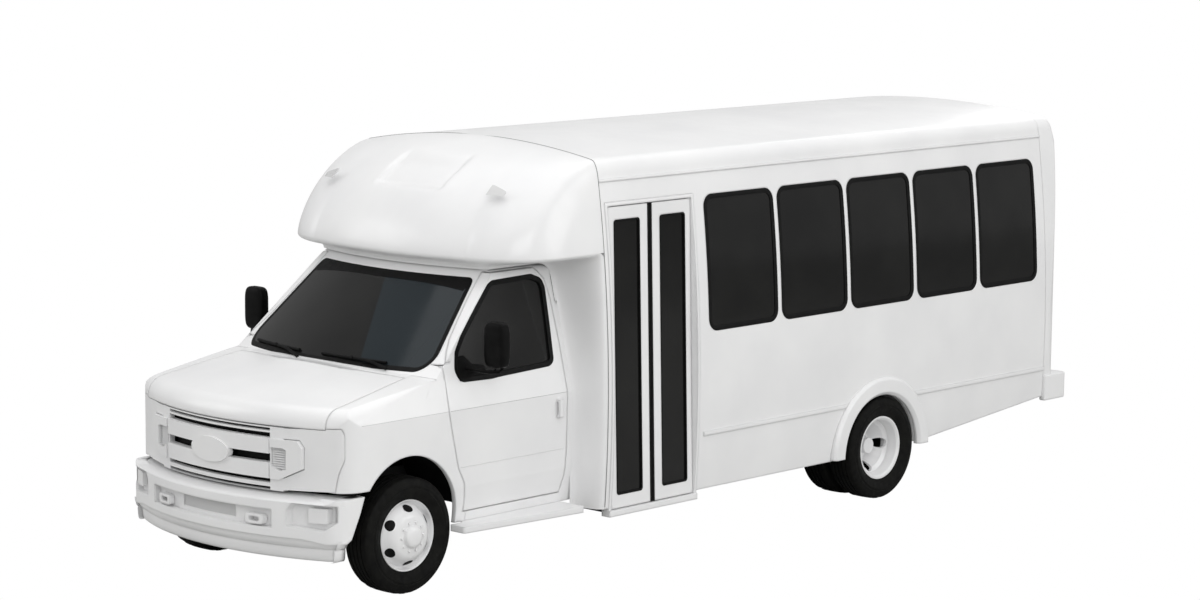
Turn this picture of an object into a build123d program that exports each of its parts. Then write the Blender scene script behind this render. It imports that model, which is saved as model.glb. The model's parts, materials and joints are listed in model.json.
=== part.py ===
from build123d import *
import math
import os

# ---------------------------------------------------------------------------
# Shuttle minibus on a cutaway van chassis, in millimetres.
# X is to the vehicle's left, Y to the rear, Z up. Lengths along Y are counted
# from the front axle here and shifted at export, so that the origin is on the
# ground under the middle of the whole vehicle.
# ---------------------------------------------------------------------------

# Running gear
WHEELBASE = 4470
TYRE_R = 372
TYRE_W = 222
RIM_R = 228
RIM_W = 152
RIM_LIP = 7
HUB_R = 66
DISC_OFFSET = 128
DISC_T = 12
FRONT_HALF_TRACK = 881
REAR_HALF_TRACK = 982
DUAL_SPACING = 264
KINGPIN_X = 735
SPINDLE_R = 32
RUNNING_CLEARANCE = 0.06

# Passenger body
BODY_HALF = 1219
BODY_BULGE_Z = 1052
BODY_SIDE_R = 9960
ROOF_TOP = 2728
ROOF_R = 5880
ROOF_CORNER_R = 105
RAIL_Z = 2490
RAIL_PROUD = 7
RAIL_H = 18
SKIRT_Z = 344
SEAM_Y = 1562
REAR_SEAM_Y = 6450
REAR_Y = 6752
WALL = 40
JOINT = 0.4
FLOOR_TOP = 805
FLOOR_T = 30
RUB_RAIL_Z = 728
RUB_RAIL_H = 30
RUB_RAIL_PROUD = 9

# Side windows
WINDOW_N = 5
WINDOW_Y = 2562
WINDOW_PITCH = 763
WINDOW_L = 724
WINDOW_Z0 = 1418
WINDOW_Z1 = 2340
WINDOW_R = 85
GLASS_T = 6

# Entry doorway
ENTRY_Y0 = 1622
ENTRY_Y1 = 2442
ENTRY_Z0 = 327
ENTRY_Z1 = 2330
ENTRY_FRAME = 24
ENTRY_FRAME_DROP = 42
LEAF_T = 34
LEAF_GAP = 6
LEAF_SEAL = 21
LEAF_STILE = 54
LEAF_MEETING_STILE = 72
LEAF_RAIL = 92
PIVOT_IN = 10
PIVOT_R = 7
PIVOT_LENGTH = 18
LEAF_EDGE_R = 8

# Rear wheel arch
ARCH_Y = 4450
ARCH_Z = 345
ARCH_FLARE_R = 548
ARCH_OPEN_R = 418
FLARE_X = 1246
FLARE_Z = 352

# Cab
CAB_HALF = 1005
CAB_SILL_HALF = 985
CAB_SILL_Z = 398
BELT_Z = 1120
CAB_ROOF_HALF = 800
CAB_ROOF_EDGE_Z = 1945
CAB_ROOF_Z = 1990
CAB_REAR_Y = 1462
NOSE_Y = -764
NOSE_R = 2080
NOSE_CORNER_R = 170
NOSE_EDGE_Z = 1100
BONNET_NOSE_R = 120
BONNET_SLOPE = 10.4
SHOULDER_Z = 1252
SHOULDER_R = 150
SHOULDER_SLOPE = 9
SKIN = 34
SCREEN_BASE_Y = 95
SCREEN_BASE_Z = 1350
SCREEN_EDGE_UP = 7
SCREEN_TOP_Y = 715
SCREEN_TOP_Z = 1890
SCREEN_PLAN_R = 2404
SCREEN_T = 8
SCREEN_CORNER_R = 90
SCREEN_BASE_HALF = 884
SCREEN_TOP_HALF = 716
SCREEN_LEDGE = 26
PANEL_GAP = 6
DOOR_BEVEL = 12
DOOR_HINGE_X = 1000
DOOR_HINGE_Y = 345

# Front cap over the cab
LIP_Z = 2045
CAP_JOINT_Z = 1945
CAP_PLAN_R = 2600
CAP_T = 30
CORNER_R = 92

# Frame
FRAME_X = 430
FRAME_W = 62
FRAME_Z0 = 500
FRAME_Z1 = 700
FRAME_FRONT_Y = -640
FRAME_REAR_Y = 6560

# Front bumper and overall length
BUMPER_Y = -850
REAR_BUMPER_Y = 6800
Y_MID = (BUMPER_Y + REAR_BUMPER_Y) / 2


# ---------------------------------------------------------------------------
# Helpers
# ---------------------------------------------------------------------------
def plane_x(x):
    return Plane(origin=(x, 0, 0), x_dir=(0, 1, 0), z_dir=(1, 0, 0))


def plane_y(y):
    return Plane(origin=(0, y, 0), x_dir=(1, 0, 0), z_dir=(0, -1, 0))


def prism_x(face, x0, x1):
    """A (y, z) face, from x0 to x1."""
    return extrude(plane_x(x0) * face, amount=x1 - x0)


def prism_y(face, y0, y1):
    """An (x, z) face, from y0 to y1."""
    return extrude(plane_y(y1) * face, amount=y1 - y0)


def prism_z(face, z0, z1):
    """An (x, y) face, from z0 to z1."""
    return extrude(Plane.XY.offset(z0) * face, amount=z1 - z0)


def block(x0, x1, y0, y1, z0, z1):
    size = Box(x1 - x0, y1 - y0, z1 - z0, align=(Align.MIN, Align.MIN, Align.MIN))
    return Pos(x0, y0, z0) * size


def rect(a0, a1, b0, b1, r=0):
    """A rectangle from (a0, b0) to (a1, b1) with corners of radius r."""
    at = Pos((a0 + a1) / 2, (b0 + b1) / 2)
    if r > 0:
        return at * RectangleRounded(a1 - a0, b1 - b0, r)
    return at * Rectangle(a1 - a0, b1 - b0)


def poly(*points):
    return make_face(Polyline(*points, close=True))


def rod_x(r, x0, x1, y=0, z=0):
    return extrude(plane_x(x0) * Pos(y, z) * Circle(r), amount=x1 - x0)


def rod_y(r, y0, y1, x=0, z=0):
    return extrude(plane_y(y1) * Pos(x, z) * Circle(r), amount=y1 - y0)


def rod_z(r, z0, z1, x=0, y=0):
    return extrude(Plane.XY.offset(z0) * Pos(x, y) * Circle(r), amount=z1 - z0)


def mirrored(shape):
    return mirror(shape, about=Plane.YZ)


def both(shape):
    return shape + mirrored(shape)


def solids(*shapes):
    """Several solids that don't touch, or touch only face to face."""
    found = []
    for shape in shapes:
        found.extend(shape.solids())
    return Compound(found) if len(found) > 1 else found[0]


def body_half_at(z):
    drop = z - BODY_BULGE_Z
    return BODY_HALF - BODY_SIDE_R + math.sqrt(BODY_SIDE_R ** 2 - drop ** 2)


def cab_half_at(z):
    if z <= BELT_Z:
        return CAB_HALF
    lean = (CAB_HALF - CAB_ROOF_HALF) / (CAB_ROOF_EDGE_Z - BELT_Z)
    return CAB_HALF - lean * (z - BELT_Z)


# ---------------------------------------------------------------------------
# Passenger body: one barrel-sided section, cut into its panels
# ---------------------------------------------------------------------------
def body_face(inset):
    """The body's whole cross-section, drawn in by inset."""
    shift = BODY_SIDE_R - BODY_HALF
    r = BODY_SIDE_R - inset
    face = Pos(-shift, BODY_BULGE_Z) * Circle(r)
    face = face & (Pos(shift, BODY_BULGE_Z) * Circle(r))
    face = face & (Pos(0, ROOF_TOP - ROOF_R) * Circle(ROOF_R - inset))
    face = face & rect(-2000, 2000, 100, 3000)
    top = face.vertices().sort_by(Axis.Y)[-2:]
    return fillet(top, ROOF_CORNER_R - inset * 0.9)


def body_solid(inset, y0, y1):
    return prism_y(body_face(inset), y0, y1)


def body_shell(y0, y1, outer=0, inner=WALL):
    return body_solid(outer, y0, y1) - body_solid(inner, y0 - 1, y1 + 1)


def window_starts(first=0):
    return [WINDOW_Y + WINDOW_PITCH * i for i in range(first, WINDOW_N)]


def window_cut(y, grow=0):
    face = rect(y - grow, y + WINDOW_L + grow, WINDOW_Z0 - grow, WINDOW_Z1 + grow,
                WINDOW_R + grow)
    return prism_x(face, 800, 1400)


def arch_cut(r):
    return prism_x(Pos(ARCH_Y, ARCH_Z) * Circle(r), 700, 1500)


def skirt_cut():
    """The skirt's bottom, which climbs towards the rear behind the arch."""
    return prism_x(poly((ARCH_Y, 0), (7000, 0), (7000, 560), (REAR_SEAM_Y, 512),
                        (5030, 374), (ARCH_Y, SKIRT_Z)), 700, 1500)


def rub_rail():
    z0 = RUB_RAIL_Z - RUB_RAIL_H / 2
    strip = body_shell(ENTRY_Y1 + 70, REAR_SEAM_Y, -RUB_RAIL_PROUD, 0)
    strip = strip & block(900, 1400, 0, 8000, z0, z0 + RUB_RAIL_H)
    return strip - arch_cut(ARCH_FLARE_R + JOINT)


def side_wall(starts):
    wall = body_shell(SEAM_Y + JOINT, REAR_SEAM_Y)
    wall = wall & block(800, 1400, 0, 8000, SKIRT_Z, RAIL_Z)
    for y in starts:
        wall = wall - window_cut(y)
    wall = wall - arch_cut(ARCH_OPEN_R) - skirt_cut()
    return wall + rub_rail()


def body_side_left():
    y0, y1 = ENTRY_Y0 - ENTRY_FRAME, ENTRY_Y1 + ENTRY_FRAME
    doorway = block(800, 1400, y0, y1, 200, ENTRY_Z1 + ENTRY_FRAME)
    return side_wall(window_starts()) - doorway


def body_side_right():
    return mirrored(side_wall(window_starts(-1)))


def window_pane(y):
    """A pane bonded into its whole opening, a little below the skin."""
    return window_cut(y) & body_shell(0, 8000, 4, 4 + GLASS_T)


def window_glass():
    left = [window_pane(y) for y in window_starts()]
    right = [mirrored(window_pane(y)) for y in window_starts(-1)]
    return solids(*left, *right)


def roof():
    skin = body_shell(SEAM_Y + JOINT, REAR_SEAM_Y) & block(-1500, 1500, 0, 8000, RAIL_Z, 3000)
    rail = body_shell(SEAM_Y + JOINT, REAR_SEAM_Y, -RAIL_PROUD, 0)
    rail = rail & block(900, 1400, 0, 8000, RAIL_Z, RAIL_Z + RAIL_H)
    return skin + both(rail)


def arch_flares():
    ring = Circle(ARCH_FLARE_R) - Circle(ARCH_OPEN_R)
    ring = (Pos(ARCH_Y, ARCH_Z) * ring) & rect(3000, 6000, FLARE_Z, 2000)
    flare = prism_x(ring, 1100, FLARE_X)
    outer = flare.faces().sort_by(Axis.X)[-1].edges()
    flare = chamfer(outer.filter_by(GeomType.CIRCLE), 22)
    return both(flare - body_solid(0, 3000, 6000))


# ---------------------------------------------------------------------------
# Front cap and the corner panels below it
# ---------------------------------------------------------------------------
# z, y of the front at the middle, half-width, corner radius
CAP_LEVELS = [
    (LIP_Z, 649, 1171, 450),
    (2350, 760, 1140, 450),
    (2500, 898, 1118, 460),
    (2620, 1082, 1108, 480),
    (2760, 1440, 1108, 480),
]


def cap_outline(front_y, half, r, inset):
    face = Pos(0, front_y + CAP_PLAN_R) * Circle(CAP_PLAN_R - inset)
    face = face & rect(-half + inset, half - inset, 0, 2100)
    corners = face.vertices().sort_by(Axis.Y)[:2]
    return fillet(corners, r - inset)


def cap_dome(inset):
    levels = []
    for z, front_y, half, r in CAP_LEVELS:
        levels.append(Plane.XY.offset(z) * cap_outline(front_y, half, r, inset))
    return loft(levels)


def corner_solid(inset, z0, z1):
    """The body's front end behind the cab, with round upright corners."""
    solid = body_solid(inset, CAB_REAR_Y + inset, SEAM_Y) & block(-1500, 1500, 0, 3000, z0, z1)
    upright = solid.edges().filter_by(lambda e: abs(e.center().Y - CAB_REAR_Y - inset) < 1
                                      and abs(e.center().X) > 1000 and e.length > (z1 - z0) * 0.9)
    return fillet(upright, CORNER_R - inset)


def cab_opening():
    """What the cab and its doorway take out of the body's front end."""
    face = poly((-CAB_HALF + 50, 480), (CAB_HALF - 50, 480), (CAB_HALF - 50, BELT_Z),
                (CAB_ROOF_HALF - 50, 1960), (-CAB_ROOF_HALF + 50, 1960), (-CAB_HALF + 50, BELT_Z))
    return prism_y(face, CAB_REAR_Y - 50, SEAM_Y + 50)


def front_cap():
    outer = body_solid(0, 400, SEAM_Y) & cap_dome(0)
    inner = body_solid(CAP_T, 400, SEAM_Y + 10) & cap_dome(CAP_T)
    inner = inner & block(-1500, 1500, 0, 3000, LIP_Z + CAP_T, 3000)
    cap = outer - inner
    legs = corner_solid(0, CAP_JOINT_Z, LIP_Z + 1) - corner_solid(CAP_T, CAP_JOINT_Z - 10, LIP_Z + 60)
    legs = legs - block(-1010, 1010, 0, 3000, 0, LIP_Z)
    throat = block(-1010, 1010, CAB_REAR_Y + CAP_T, SEAM_Y + 10, LIP_Z - 10, LIP_Z + CAP_T + 10)
    return cap + legs - throat


def front_corner_panels():
    solid = corner_solid(0, SKIRT_Z - 22, CAP_JOINT_Z - JOINT)
    hollow = corner_solid(WALL, SKIRT_Z - 50, CAP_JOINT_Z + 20)
    return solid - hollow - cab_opening() - block(-860, 860, 0, 3000, 0, 3000)


# ---------------------------------------------------------------------------
# Rear cap and the emergency door in it
# ---------------------------------------------------------------------------
REAR_BARREL_R = 4600
REAR_BARREL_Z = 1450
REAR_TOP_R = 190
REAR_PLAN_R = 6000
REAR_CORNER_R = 170
REAR_BOTTOM_Z = 540
EXIT_HALF = 420
EXIT_Z0 = 830
EXIT_Z1 = 2330
EXIT_R = 60
EXIT_WINDOW_Z = 1480


def rear_solid(inset, y0=REAR_SEAM_Y - 20, z0=200):
    profile = Pos(REAR_Y - REAR_BARREL_R, REAR_BARREL_Z) * Circle(REAR_BARREL_R - inset)
    profile = profile & rect(REAR_SEAM_Y - 600, 7000, z0, ROOF_TOP - inset + 8)
    corner = profile.vertices().filter_by(lambda v: v.X > REAR_SEAM_Y and v.Y > 2000)
    profile = fillet(corner, REAR_TOP_R - inset)
    plan = Pos(0, REAR_Y - REAR_PLAN_R) * Circle(REAR_PLAN_R - inset)
    plan = plan & rect(-BODY_HALF + inset, BODY_HALF - inset, y0, 7000)
    corners = plan.vertices().sort_by(Axis.Y)[-2:]
    plan = fillet(corners, REAR_CORNER_R - inset)
    solid = prism_x(profile, -1500, 1500) & prism_z(plan, 200, 2900)
    return solid & body_solid(inset, y0, 7000)


def rear_shell():
    return rear_solid(0) - rear_solid(WALL)


def exit_prism(gap=0):
    face = rect(-EXIT_HALF - gap, EXIT_HALF + gap, EXIT_Z0 - gap, EXIT_Z1 + gap, EXIT_R)
    return prism_y(face, REAR_SEAM_Y, 7000)


def exit_windows(grow=0):
    edge = 70 - grow
    upper = rect(-EXIT_HALF + edge, EXIT_HALF - edge, EXIT_WINDOW_Z - grow, EXIT_Z1 - edge, 50)
    lower = rect(-EXIT_HALF + edge, EXIT_HALF - edge, EXIT_Z0 + edge, EXIT_WINDOW_Z - 110 + grow, 50)
    return prism_y(upper, REAR_SEAM_Y, 7000) + prism_y(lower, REAR_SEAM_Y, 7000)


EXIT_HINGE_Y = 6757
EXIT_HINGES_Z = (1100, 1850)
EXIT_PIN_R = 6
EXIT_BARREL_R = 13
EXIT_BARREL_HALF = 16


def exit_hinge_lugs(z):
    """The cap's half of a hinge: two lugs and the pin between them."""
    lug = block(-505, -EXIT_HALF - 5, 6690, EXIT_HINGE_Y + 8, 0, 24) + rod_z(EXIT_BARREL_R, 0, 24, -EXIT_HALF, EXIT_HINGE_Y)
    lower = Pos(0, 0, z - EXIT_BARREL_HALF - 5 - 24) * lug
    upper = Pos(0, 0, z + EXIT_BARREL_HALF + 5) * lug
    pin = rod_z(EXIT_PIN_R, z - EXIT_BARREL_HALF - 6, z + EXIT_BARREL_HALF + 6, -EXIT_HALF, EXIT_HINGE_Y)
    return (lower + upper - rear_solid(1)) + pin


def exit_hinge_strap(z):
    """The door's half: a strap out to a barrel that turns on the pin."""
    strap = block(-EXIT_HALF, -335, 6690, EXIT_HINGE_Y + 8, z - EXIT_BARREL_HALF, z + EXIT_BARREL_HALF) - rear_solid(1)
    barrel = rod_z(EXIT_BARREL_R, z - EXIT_BARREL_HALF, z + EXIT_BARREL_HALF, -EXIT_HALF, EXIT_HINGE_Y)
    bore = rod_z(EXIT_PIN_R + RUNNING_CLEARANCE, z - 40, z + 40, -EXIT_HALF, EXIT_HINGE_Y)
    return strap + barrel - bore


def rear_cap():
    cap = rear_solid(0, REAR_SEAM_Y + JOINT, REAR_BOTTOM_Z) - rear_solid(WALL)
    cap = cap - exit_prism(PANEL_GAP) - both(bumper_arm(4))
    for z in EXIT_HINGES_Z:
        cap = cap + exit_hinge_lugs(z)
    return cap


def rear_door():
    door = (rear_shell() & exit_prism()) - exit_windows()
    for z in EXIT_HINGES_Z:
        door = door + exit_hinge_strap(z)
    return door


def rear_door_glass():
    panes = (rear_solid(12) - rear_solid(12 + GLASS_T)) & exit_windows()
    return solids(panes)


# ---------------------------------------------------------------------------
# Entry doorway, its two leaves and the steps
# ---------------------------------------------------------------------------
def leaf_x(z):
    """The outer face of the closed leaves: a flat between the doorway's ends."""
    top, bottom = body_half_at(ENTRY_Z1), body_half_at(ENTRY_Z0)
    return top + (bottom - top) * (ENTRY_Z1 - z) / (ENTRY_Z1 - ENTRY_Z0)


def leaning_slab(depth0, depth1, z0, z1):
    """An (x, z) face that runs along the leaves' flat, from depth0 to depth1 inside it."""
    return poly((leaf_x(z0) - depth0, z0), (leaf_x(z1) - depth0, z1),
                (leaf_x(z1) - depth1, z1), (leaf_x(z0) - depth1, z0))


def leaf_pivots(r, depth):
    """The pins at the foot and the head of a leaf's end, along the leaf's lean."""
    lean = Plane(origin=(leaf_x(ENTRY_Z0) - PIVOT_IN, ENTRY_Y0 + LEAF_GAP + PIVOT_IN, ENTRY_Z0),
                 x_dir=(0, 1, 0), z_dir=(leaf_x(ENTRY_Z1) - leaf_x(ENTRY_Z0), 0, ENTRY_Z1 - ENTRY_Z0))
    length = math.hypot(leaf_x(ENTRY_Z1) - leaf_x(ENTRY_Z0), ENTRY_Z1 - ENTRY_Z0)
    foot = extrude(lean.offset(-12) * Circle(r), amount=12 + LEAF_GAP + depth)
    head = extrude(lean.offset(length - LEAF_GAP - depth) * Circle(r), amount=12 + LEAF_GAP + depth)
    return foot + head


def entry_frame():
    y0, y1 = ENTRY_Y0 - ENTRY_FRAME, ENTRY_Y1 + ENTRY_FRAME
    z0, z1 = ENTRY_Z0 - ENTRY_FRAME_DROP, ENTRY_Z1 + ENTRY_FRAME
    outer = body_solid(-4, y0, y1) & block(1000, 1400, y0, y1, z0, z1)
    outer = outer - prism_y(leaning_slab(LEAF_T + 26, 400, z0 - 20, z1 + 20), 0, 4000)
    outer = outer + prism_y(leaning_slab(-14, LEAF_T + 26, z0, ENTRY_Z0), y0, y1)
    pivots = leaf_pivots(PIVOT_R, PIVOT_LENGTH)
    return outer - block(900, 1500, ENTRY_Y0, ENTRY_Y1, ENTRY_Z0, ENTRY_Z1) + pivots + to_rear_leaf(pivots)


def leaf_blank(y0, y1, depth0=0, depth1=LEAF_T):
    z0, z1 = ENTRY_Z0 + LEAF_GAP, ENTRY_Z1 - LEAF_GAP
    return prism_y(leaning_slab(depth0, depth1, z0, z1), y0, y1)


ENTRY_MID = (ENTRY_Y0 + ENTRY_Y1) / 2
LEAF_END = ENTRY_MID - LEAF_GAP / 2 - LEAF_SEAL


def leaf_pane(grow=0):
    y0 = ENTRY_Y0 + LEAF_GAP + LEAF_STILE - grow
    y1 = LEAF_END - LEAF_MEETING_STILE + grow
    z0, z1 = ENTRY_Z0 + LEAF_RAIL - grow, ENTRY_Z1 - LEAF_RAIL + grow
    return prism_x(rect(y0, y1, z0, z1, 22), 900, 1400)


def to_rear_leaf(shape):
    """The rear leaf mirrors the front one about the doorway's middle."""
    return mirror(shape, about=Plane(origin=(0, ENTRY_MID, 0), z_dir=(0, 1, 0)))


def entry_leaf_front():
    """A glazed leaf with the rubber nose on its meeting edge."""
    nose = leaf_blank(LEAF_END - 1, LEAF_END + LEAF_SEAL, 4, 18)
    blank = leaf_blank(ENTRY_Y0 + LEAF_GAP, LEAF_END)
    edge = blank.edges().filter_by(lambda e: e.length > 1000 and e.center().Y < ENTRY_Y0 + LEAF_GAP + 1)
    blank = fillet(edge.sort_by(Axis.X)[-1], LEAF_EDGE_R)
    return blank - leaf_pane() + nose - leaf_pivots(PIVOT_R + RUNNING_CLEARANCE, PIVOT_LENGTH + 2)


def entry_leaf_rear():
    return to_rear_leaf(entry_leaf_front())


def entry_pane_front():
    return leaf_pane() & leaf_blank(ENTRY_Y0, LEAF_END, 10, 10 + GLASS_T)


def entry_pane_rear():
    return to_rear_leaf(entry_pane_front())


STEP_IN = 290
STEP_T = 22


def entry_steps():
    """Two treads and their risers, folded up from the sill to the floor."""
    x0 = leaf_x(ENTRY_Z0) - LEAF_T - 26
    z_mid = (ENTRY_Z0 + FLOOR_TOP) / 2
    x1, x2 = x0 - STEP_IN, x0 - 2 * STEP_IN
    line = [(x0, ENTRY_Z0), (x1, ENTRY_Z0), (x1, z_mid), (x2, z_mid), (x2, FLOOR_TOP - FLOOR_T),
            (x2 - STEP_T, FLOOR_TOP - FLOOR_T), (x2 - STEP_T, z_mid - STEP_T), (x1 - STEP_T, z_mid - STEP_T),
            (x1 - STEP_T, ENTRY_Z0 - STEP_T), (x0, ENTRY_Z0 - STEP_T)]
    return prism_y(poly(*line), ENTRY_Y0, ENTRY_Y1)


def floor():
    half = BODY_HALF + 50
    slab = block(-half, half, SEAM_Y - 90, REAR_SEAM_Y + 180, FLOOR_TOP - FLOOR_T, FLOOR_TOP)
    slab = slab & (body_solid(WALL, SEAM_Y - 90, REAR_SEAM_Y + 20) + rear_solid(WALL))
    x2 = leaf_x(ENTRY_Z0) - LEAF_T - 26 - 2 * STEP_IN
    slab = slab - block(x2, 1400, ENTRY_Y0, ENTRY_Y1, 0, 2000)
    slab = slab - both(block(860, 1400, 1400, SEAM_Y, 0, 2000))
    slab = slab - block(1100, 1400, ENTRY_Y0 - ENTRY_FRAME, ENTRY_Y1 + ENTRY_FRAME, 0, 2000)
    joists = None
    for y in (1700, 2550, 3300, 3880, 5060, 5750, 6350):
        bar = block(-1080, 1080, y, y + 60, FRAME_Z1, FLOOR_TOP - FLOOR_T)
        if y < ENTRY_Y1:
            bar = block(-1080, x2 - STEP_T, y, y + 60, FRAME_Z1, FLOOR_TOP - FLOOR_T)
        joists = bar if joists is None else joists + bar
    return slab + joists


# ---------------------------------------------------------------------------
# Cab: one block, cut into its panels
# ---------------------------------------------------------------------------
def cab_section(inset):
    face = poly((-CAB_SILL_HALF, CAB_SILL_Z), (CAB_SILL_HALF, CAB_SILL_Z), (CAB_HALF, 620),
                (CAB_HALF, BELT_Z), (CAB_ROOF_HALF, CAB_ROOF_EDGE_Z), (300, CAB_ROOF_Z),
                (-300, CAB_ROOF_Z), (-CAB_ROOF_HALF, CAB_ROOF_EDGE_Z), (-CAB_HALF, BELT_Z),
                (-CAB_HALF, 620))
    edge = face.vertices().filter_by(lambda v: abs(v.Y - CAB_ROOF_EDGE_Z) < 1)
    face = fillet(edge, 70)
    if inset:
        face = offset(face, -inset, kind=Kind.INTERSECTION)
    return face


def nose_plan(inset):
    face = Pos(0, NOSE_Y + NOSE_R) * Circle(NOSE_R - inset)
    face = face & rect(-CAB_HALF + inset, CAB_HALF - inset, -1000, CAB_REAR_Y)
    corners = face.vertices().sort_by(Axis.Y)[:2]
    return fillet(corners, NOSE_CORNER_R - inset)


def bonnet_dome(inset):
    """The bonnet's top: a nose and a slope turned about the nose's own centre."""
    rise = math.tan(math.radians(BONNET_SLOPE))
    r0 = NOSE_R - inset
    top = NOSE_EDGE_Z + BONNET_NOSE_R * 0.9 - inset
    face = poly((0, 0), (r0, 0), (r0, top), (0, top + r0 * rise))
    corner = face.vertices().filter_by(lambda v: abs(v.X - r0) < 1 and v.Y > 500)
    face = fillet(corner, BONNET_NOSE_R - inset)
    turned = revolve(Plane.XZ * face, Axis.Z, 360)
    return Pos(0, NOSE_Y + NOSE_R, 0) * turned


def shoulder_prism(inset):
    """The wings' round shoulders, which climb with the bonnet."""
    climb = math.tan(math.radians(BONNET_SLOPE))
    side = CAB_HALF - inset
    z = SHOULDER_Z - inset * 0.9
    ridge = z + side * math.tan(math.radians(SHOULDER_SLOPE))
    face = poly((-side, -900), (side, -900), (side, z), (0, ridge), (-side, z))
    edge = face.vertices().filter_by(lambda v: abs(v.Y - z) < 1)
    face = fillet(edge, SHOULDER_R - inset)
    y_ref = -274
    start = Plane(origin=(0, y_ref - 700, -700 * climb), x_dir=(1, 0, 0), z_dir=(0, -1, 0))
    return extrude(start * face, amount=2600, dir=(0, 1, climb))


def screen_prism(inset):
    """All that lies behind the raked windscreen, whose plan is an arc at every height."""
    rake = (SCREEN_TOP_Y - SCREEN_BASE_Y) / (SCREEN_TOP_Z - SCREEN_BASE_Z)
    mid = SCREEN_BASE_Y - 400 * rake + inset * math.hypot(1, rake)
    half = 1100
    edge = mid + SCREEN_PLAN_R - math.sqrt(SCREEN_PLAN_R ** 2 - half ** 2)
    arc = ThreePointArc((-half, edge), (0, mid), (half, edge))
    back = Polyline((half, edge), (half, 3200), (-half, 3200), (-half, edge))
    face = Plane.XY.offset(SCREEN_BASE_Z - 400) * make_face([arc, back])
    return extrude(face, amount=1800, dir=(0, rake, 1))


def front_block(inset):
    """Nose, bonnet and wings, which run on below the windscreen."""
    return prism_z(nose_plan(inset), 100, 2100) & bonnet_dome(inset) & shoulder_prism(inset)


def cab_block(inset):
    section = prism_y(cab_section(inset), -900, CAB_REAR_Y)
    front = front_block(inset)
    house = screen_prism(inset) & block(-1100, 1100, -500, CAB_REAR_Y, 900, 2100)
    return section & (front + house)


def cab_shell():
    return CAB_OUTER - CAB_INNER


CAB_OUTER = cab_block(0)
CAB_INNER = cab_block(SKIN)

# Door outline on the cab's side: y, z. Its upper front runs ahead of the windscreen's face.
DOOR_OUTLINE = [
    (467, 466), (1337, 466), (1374, 575), (1392, 749), (1400, 1126), (1416, 1411), (1418, 1713),
    (1398, 1850), (1330, 1928), (840, 1928), (815, 1903), (680, 1776), (540, 1637), (440, 1544),
    (380, 1472), (353, 1425), (353, 1399), (341, 1236), (331, 1111), (362, 963), (412, 747),
    (463, 648), (471, 555),
]
# Where the door wraps round onto the windscreen's face: x, z
DOOR_WRAP = [
    (930, 1418), (890, 1472), (848, 1544), (815, 1637), (770, 1776), (740, 1903), (732, 1940),
]
DOOR_WINDOW = [
    (462, 1293), (740, 1286), (808, 1291), (1282, 1307), (1317, 1332), (1334, 1552), (1348, 1800),
    (1332, 1854), (1246, 1888), (886, 1878), (846, 1859), (654, 1682), (535, 1567), (462, 1475), (434, 1365),
]


def side_prism(points, grow, x0=700, x1=1080):
    """A (y, z) outline pushed through the cab's side, its rear faces bevelled to swing out."""
    bevel = math.tan(math.radians(DOOR_BEVEL))
    face = poly(*points)
    if grow:
        face = offset(face, grow, kind=Kind.INTERSECTION)
    x_ref = CAB_HALF
    start = plane_x(x0) * Pos(-(x_ref - x0) * bevel, 0) * face
    return extrude(start, amount=(x1 - x0) / math.cos(math.radians(DOOR_BEVEL)), dir=(1, bevel, 0))


def pillar_prism(gap):
    """What stays inboard of the door's wrapped edge: the windscreen's pillar and the cowl's end."""
    pillar = poly((500, 1400), (930, 1400), *DOOR_WRAP, (500, 1940))
    cowl = poly((500, 1000), (936, 1000), (936, 1260), (900, 1405), (500, 1405))
    if gap:
        pillar = offset(pillar, -gap, kind=Kind.INTERSECTION)
        cowl = offset(cowl, -gap, kind=Kind.INTERSECTION)
    return prism_y(pillar, 200, 1000) - screen_prism(SKIN + 2 - gap) + prism_y(cowl, 200, 430)


def door_prism(gap=0):
    return side_prism(DOOR_OUTLINE, gap) - pillar_prism(gap)


def door_window():
    return prism_x(poly(*DOOR_WINDOW), 700, 1080)


def door_handle():
    bar = block(CAB_HALF + 14, CAB_HALF + 30, 1300, 1336, 965, 1085)
    feet = block(CAB_HALF - 10, CAB_HALF + 14, 1300, 1336, 965, 985)
    return bar + feet + block(CAB_HALF - 10, CAB_HALF + 14, 1300, 1336, 1065, 1085)


def side_block(inset):
    """The cab's leaning side alone, for the door's pane."""
    return prism_y(cab_section(inset), 300, CAB_REAR_Y) & block(700, 1100, 300, CAB_REAR_Y, 1200, 1930)


def cab_door():
    door = (cab_shell() & door_prism()) - door_window()
    return door + door_handle()


def door_glass():
    pane = side_block(12) - side_block(12 + GLASS_T)
    return pane & door_window()


# Mirrors ride on the doors
MIRROR_X = 1150
MIRROR_Y = 560
MIRROR_Z = 1392
MIRROR_W = 180
MIRROR_D = 85
MIRROR_H = 282


def door_mirror():
    head = block(MIRROR_X - MIRROR_W / 2, MIRROR_X + MIRROR_W / 2, MIRROR_Y, MIRROR_Y + MIRROR_D,
                 MIRROR_Z, MIRROR_Z + MIRROR_H)
    head = fillet(head.edges().filter_by(Axis.Z) + head.edges().filter_by(Axis.X), 24)
    arm_z = MIRROR_Z - 30
    root_x = cab_half_at(arm_z)
    arm = block(root_x - 2, MIRROR_X + 20, MIRROR_Y + 22, MIRROR_Y + 62, arm_z - 24, arm_z + 6)
    post = block(MIRROR_X - 22, MIRROR_X + 20, MIRROR_Y + 22, MIRROR_Y + 62, arm_z - 24, MIRROR_Z + 30)
    foot = side_prism([(440, 1312), (700, 1325), (690, 1400), (500, 1452), (446, 1440)], 0)
    foot = foot & (cab_block(-12) - CAB_OUTER)
    return head + post + (arm - CAB_OUTER) + foot


# Front panels
SHUT_X_NOSE = 850
SHUT_X_COWL = 785
COWL_Y = 150
WING_BOTTOM_Z = 710
FRONT_ARCH_Y = -18
FRONT_ARCH_Z = 470
FRONT_ARCH_R = 414
LINER_R = 440


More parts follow.
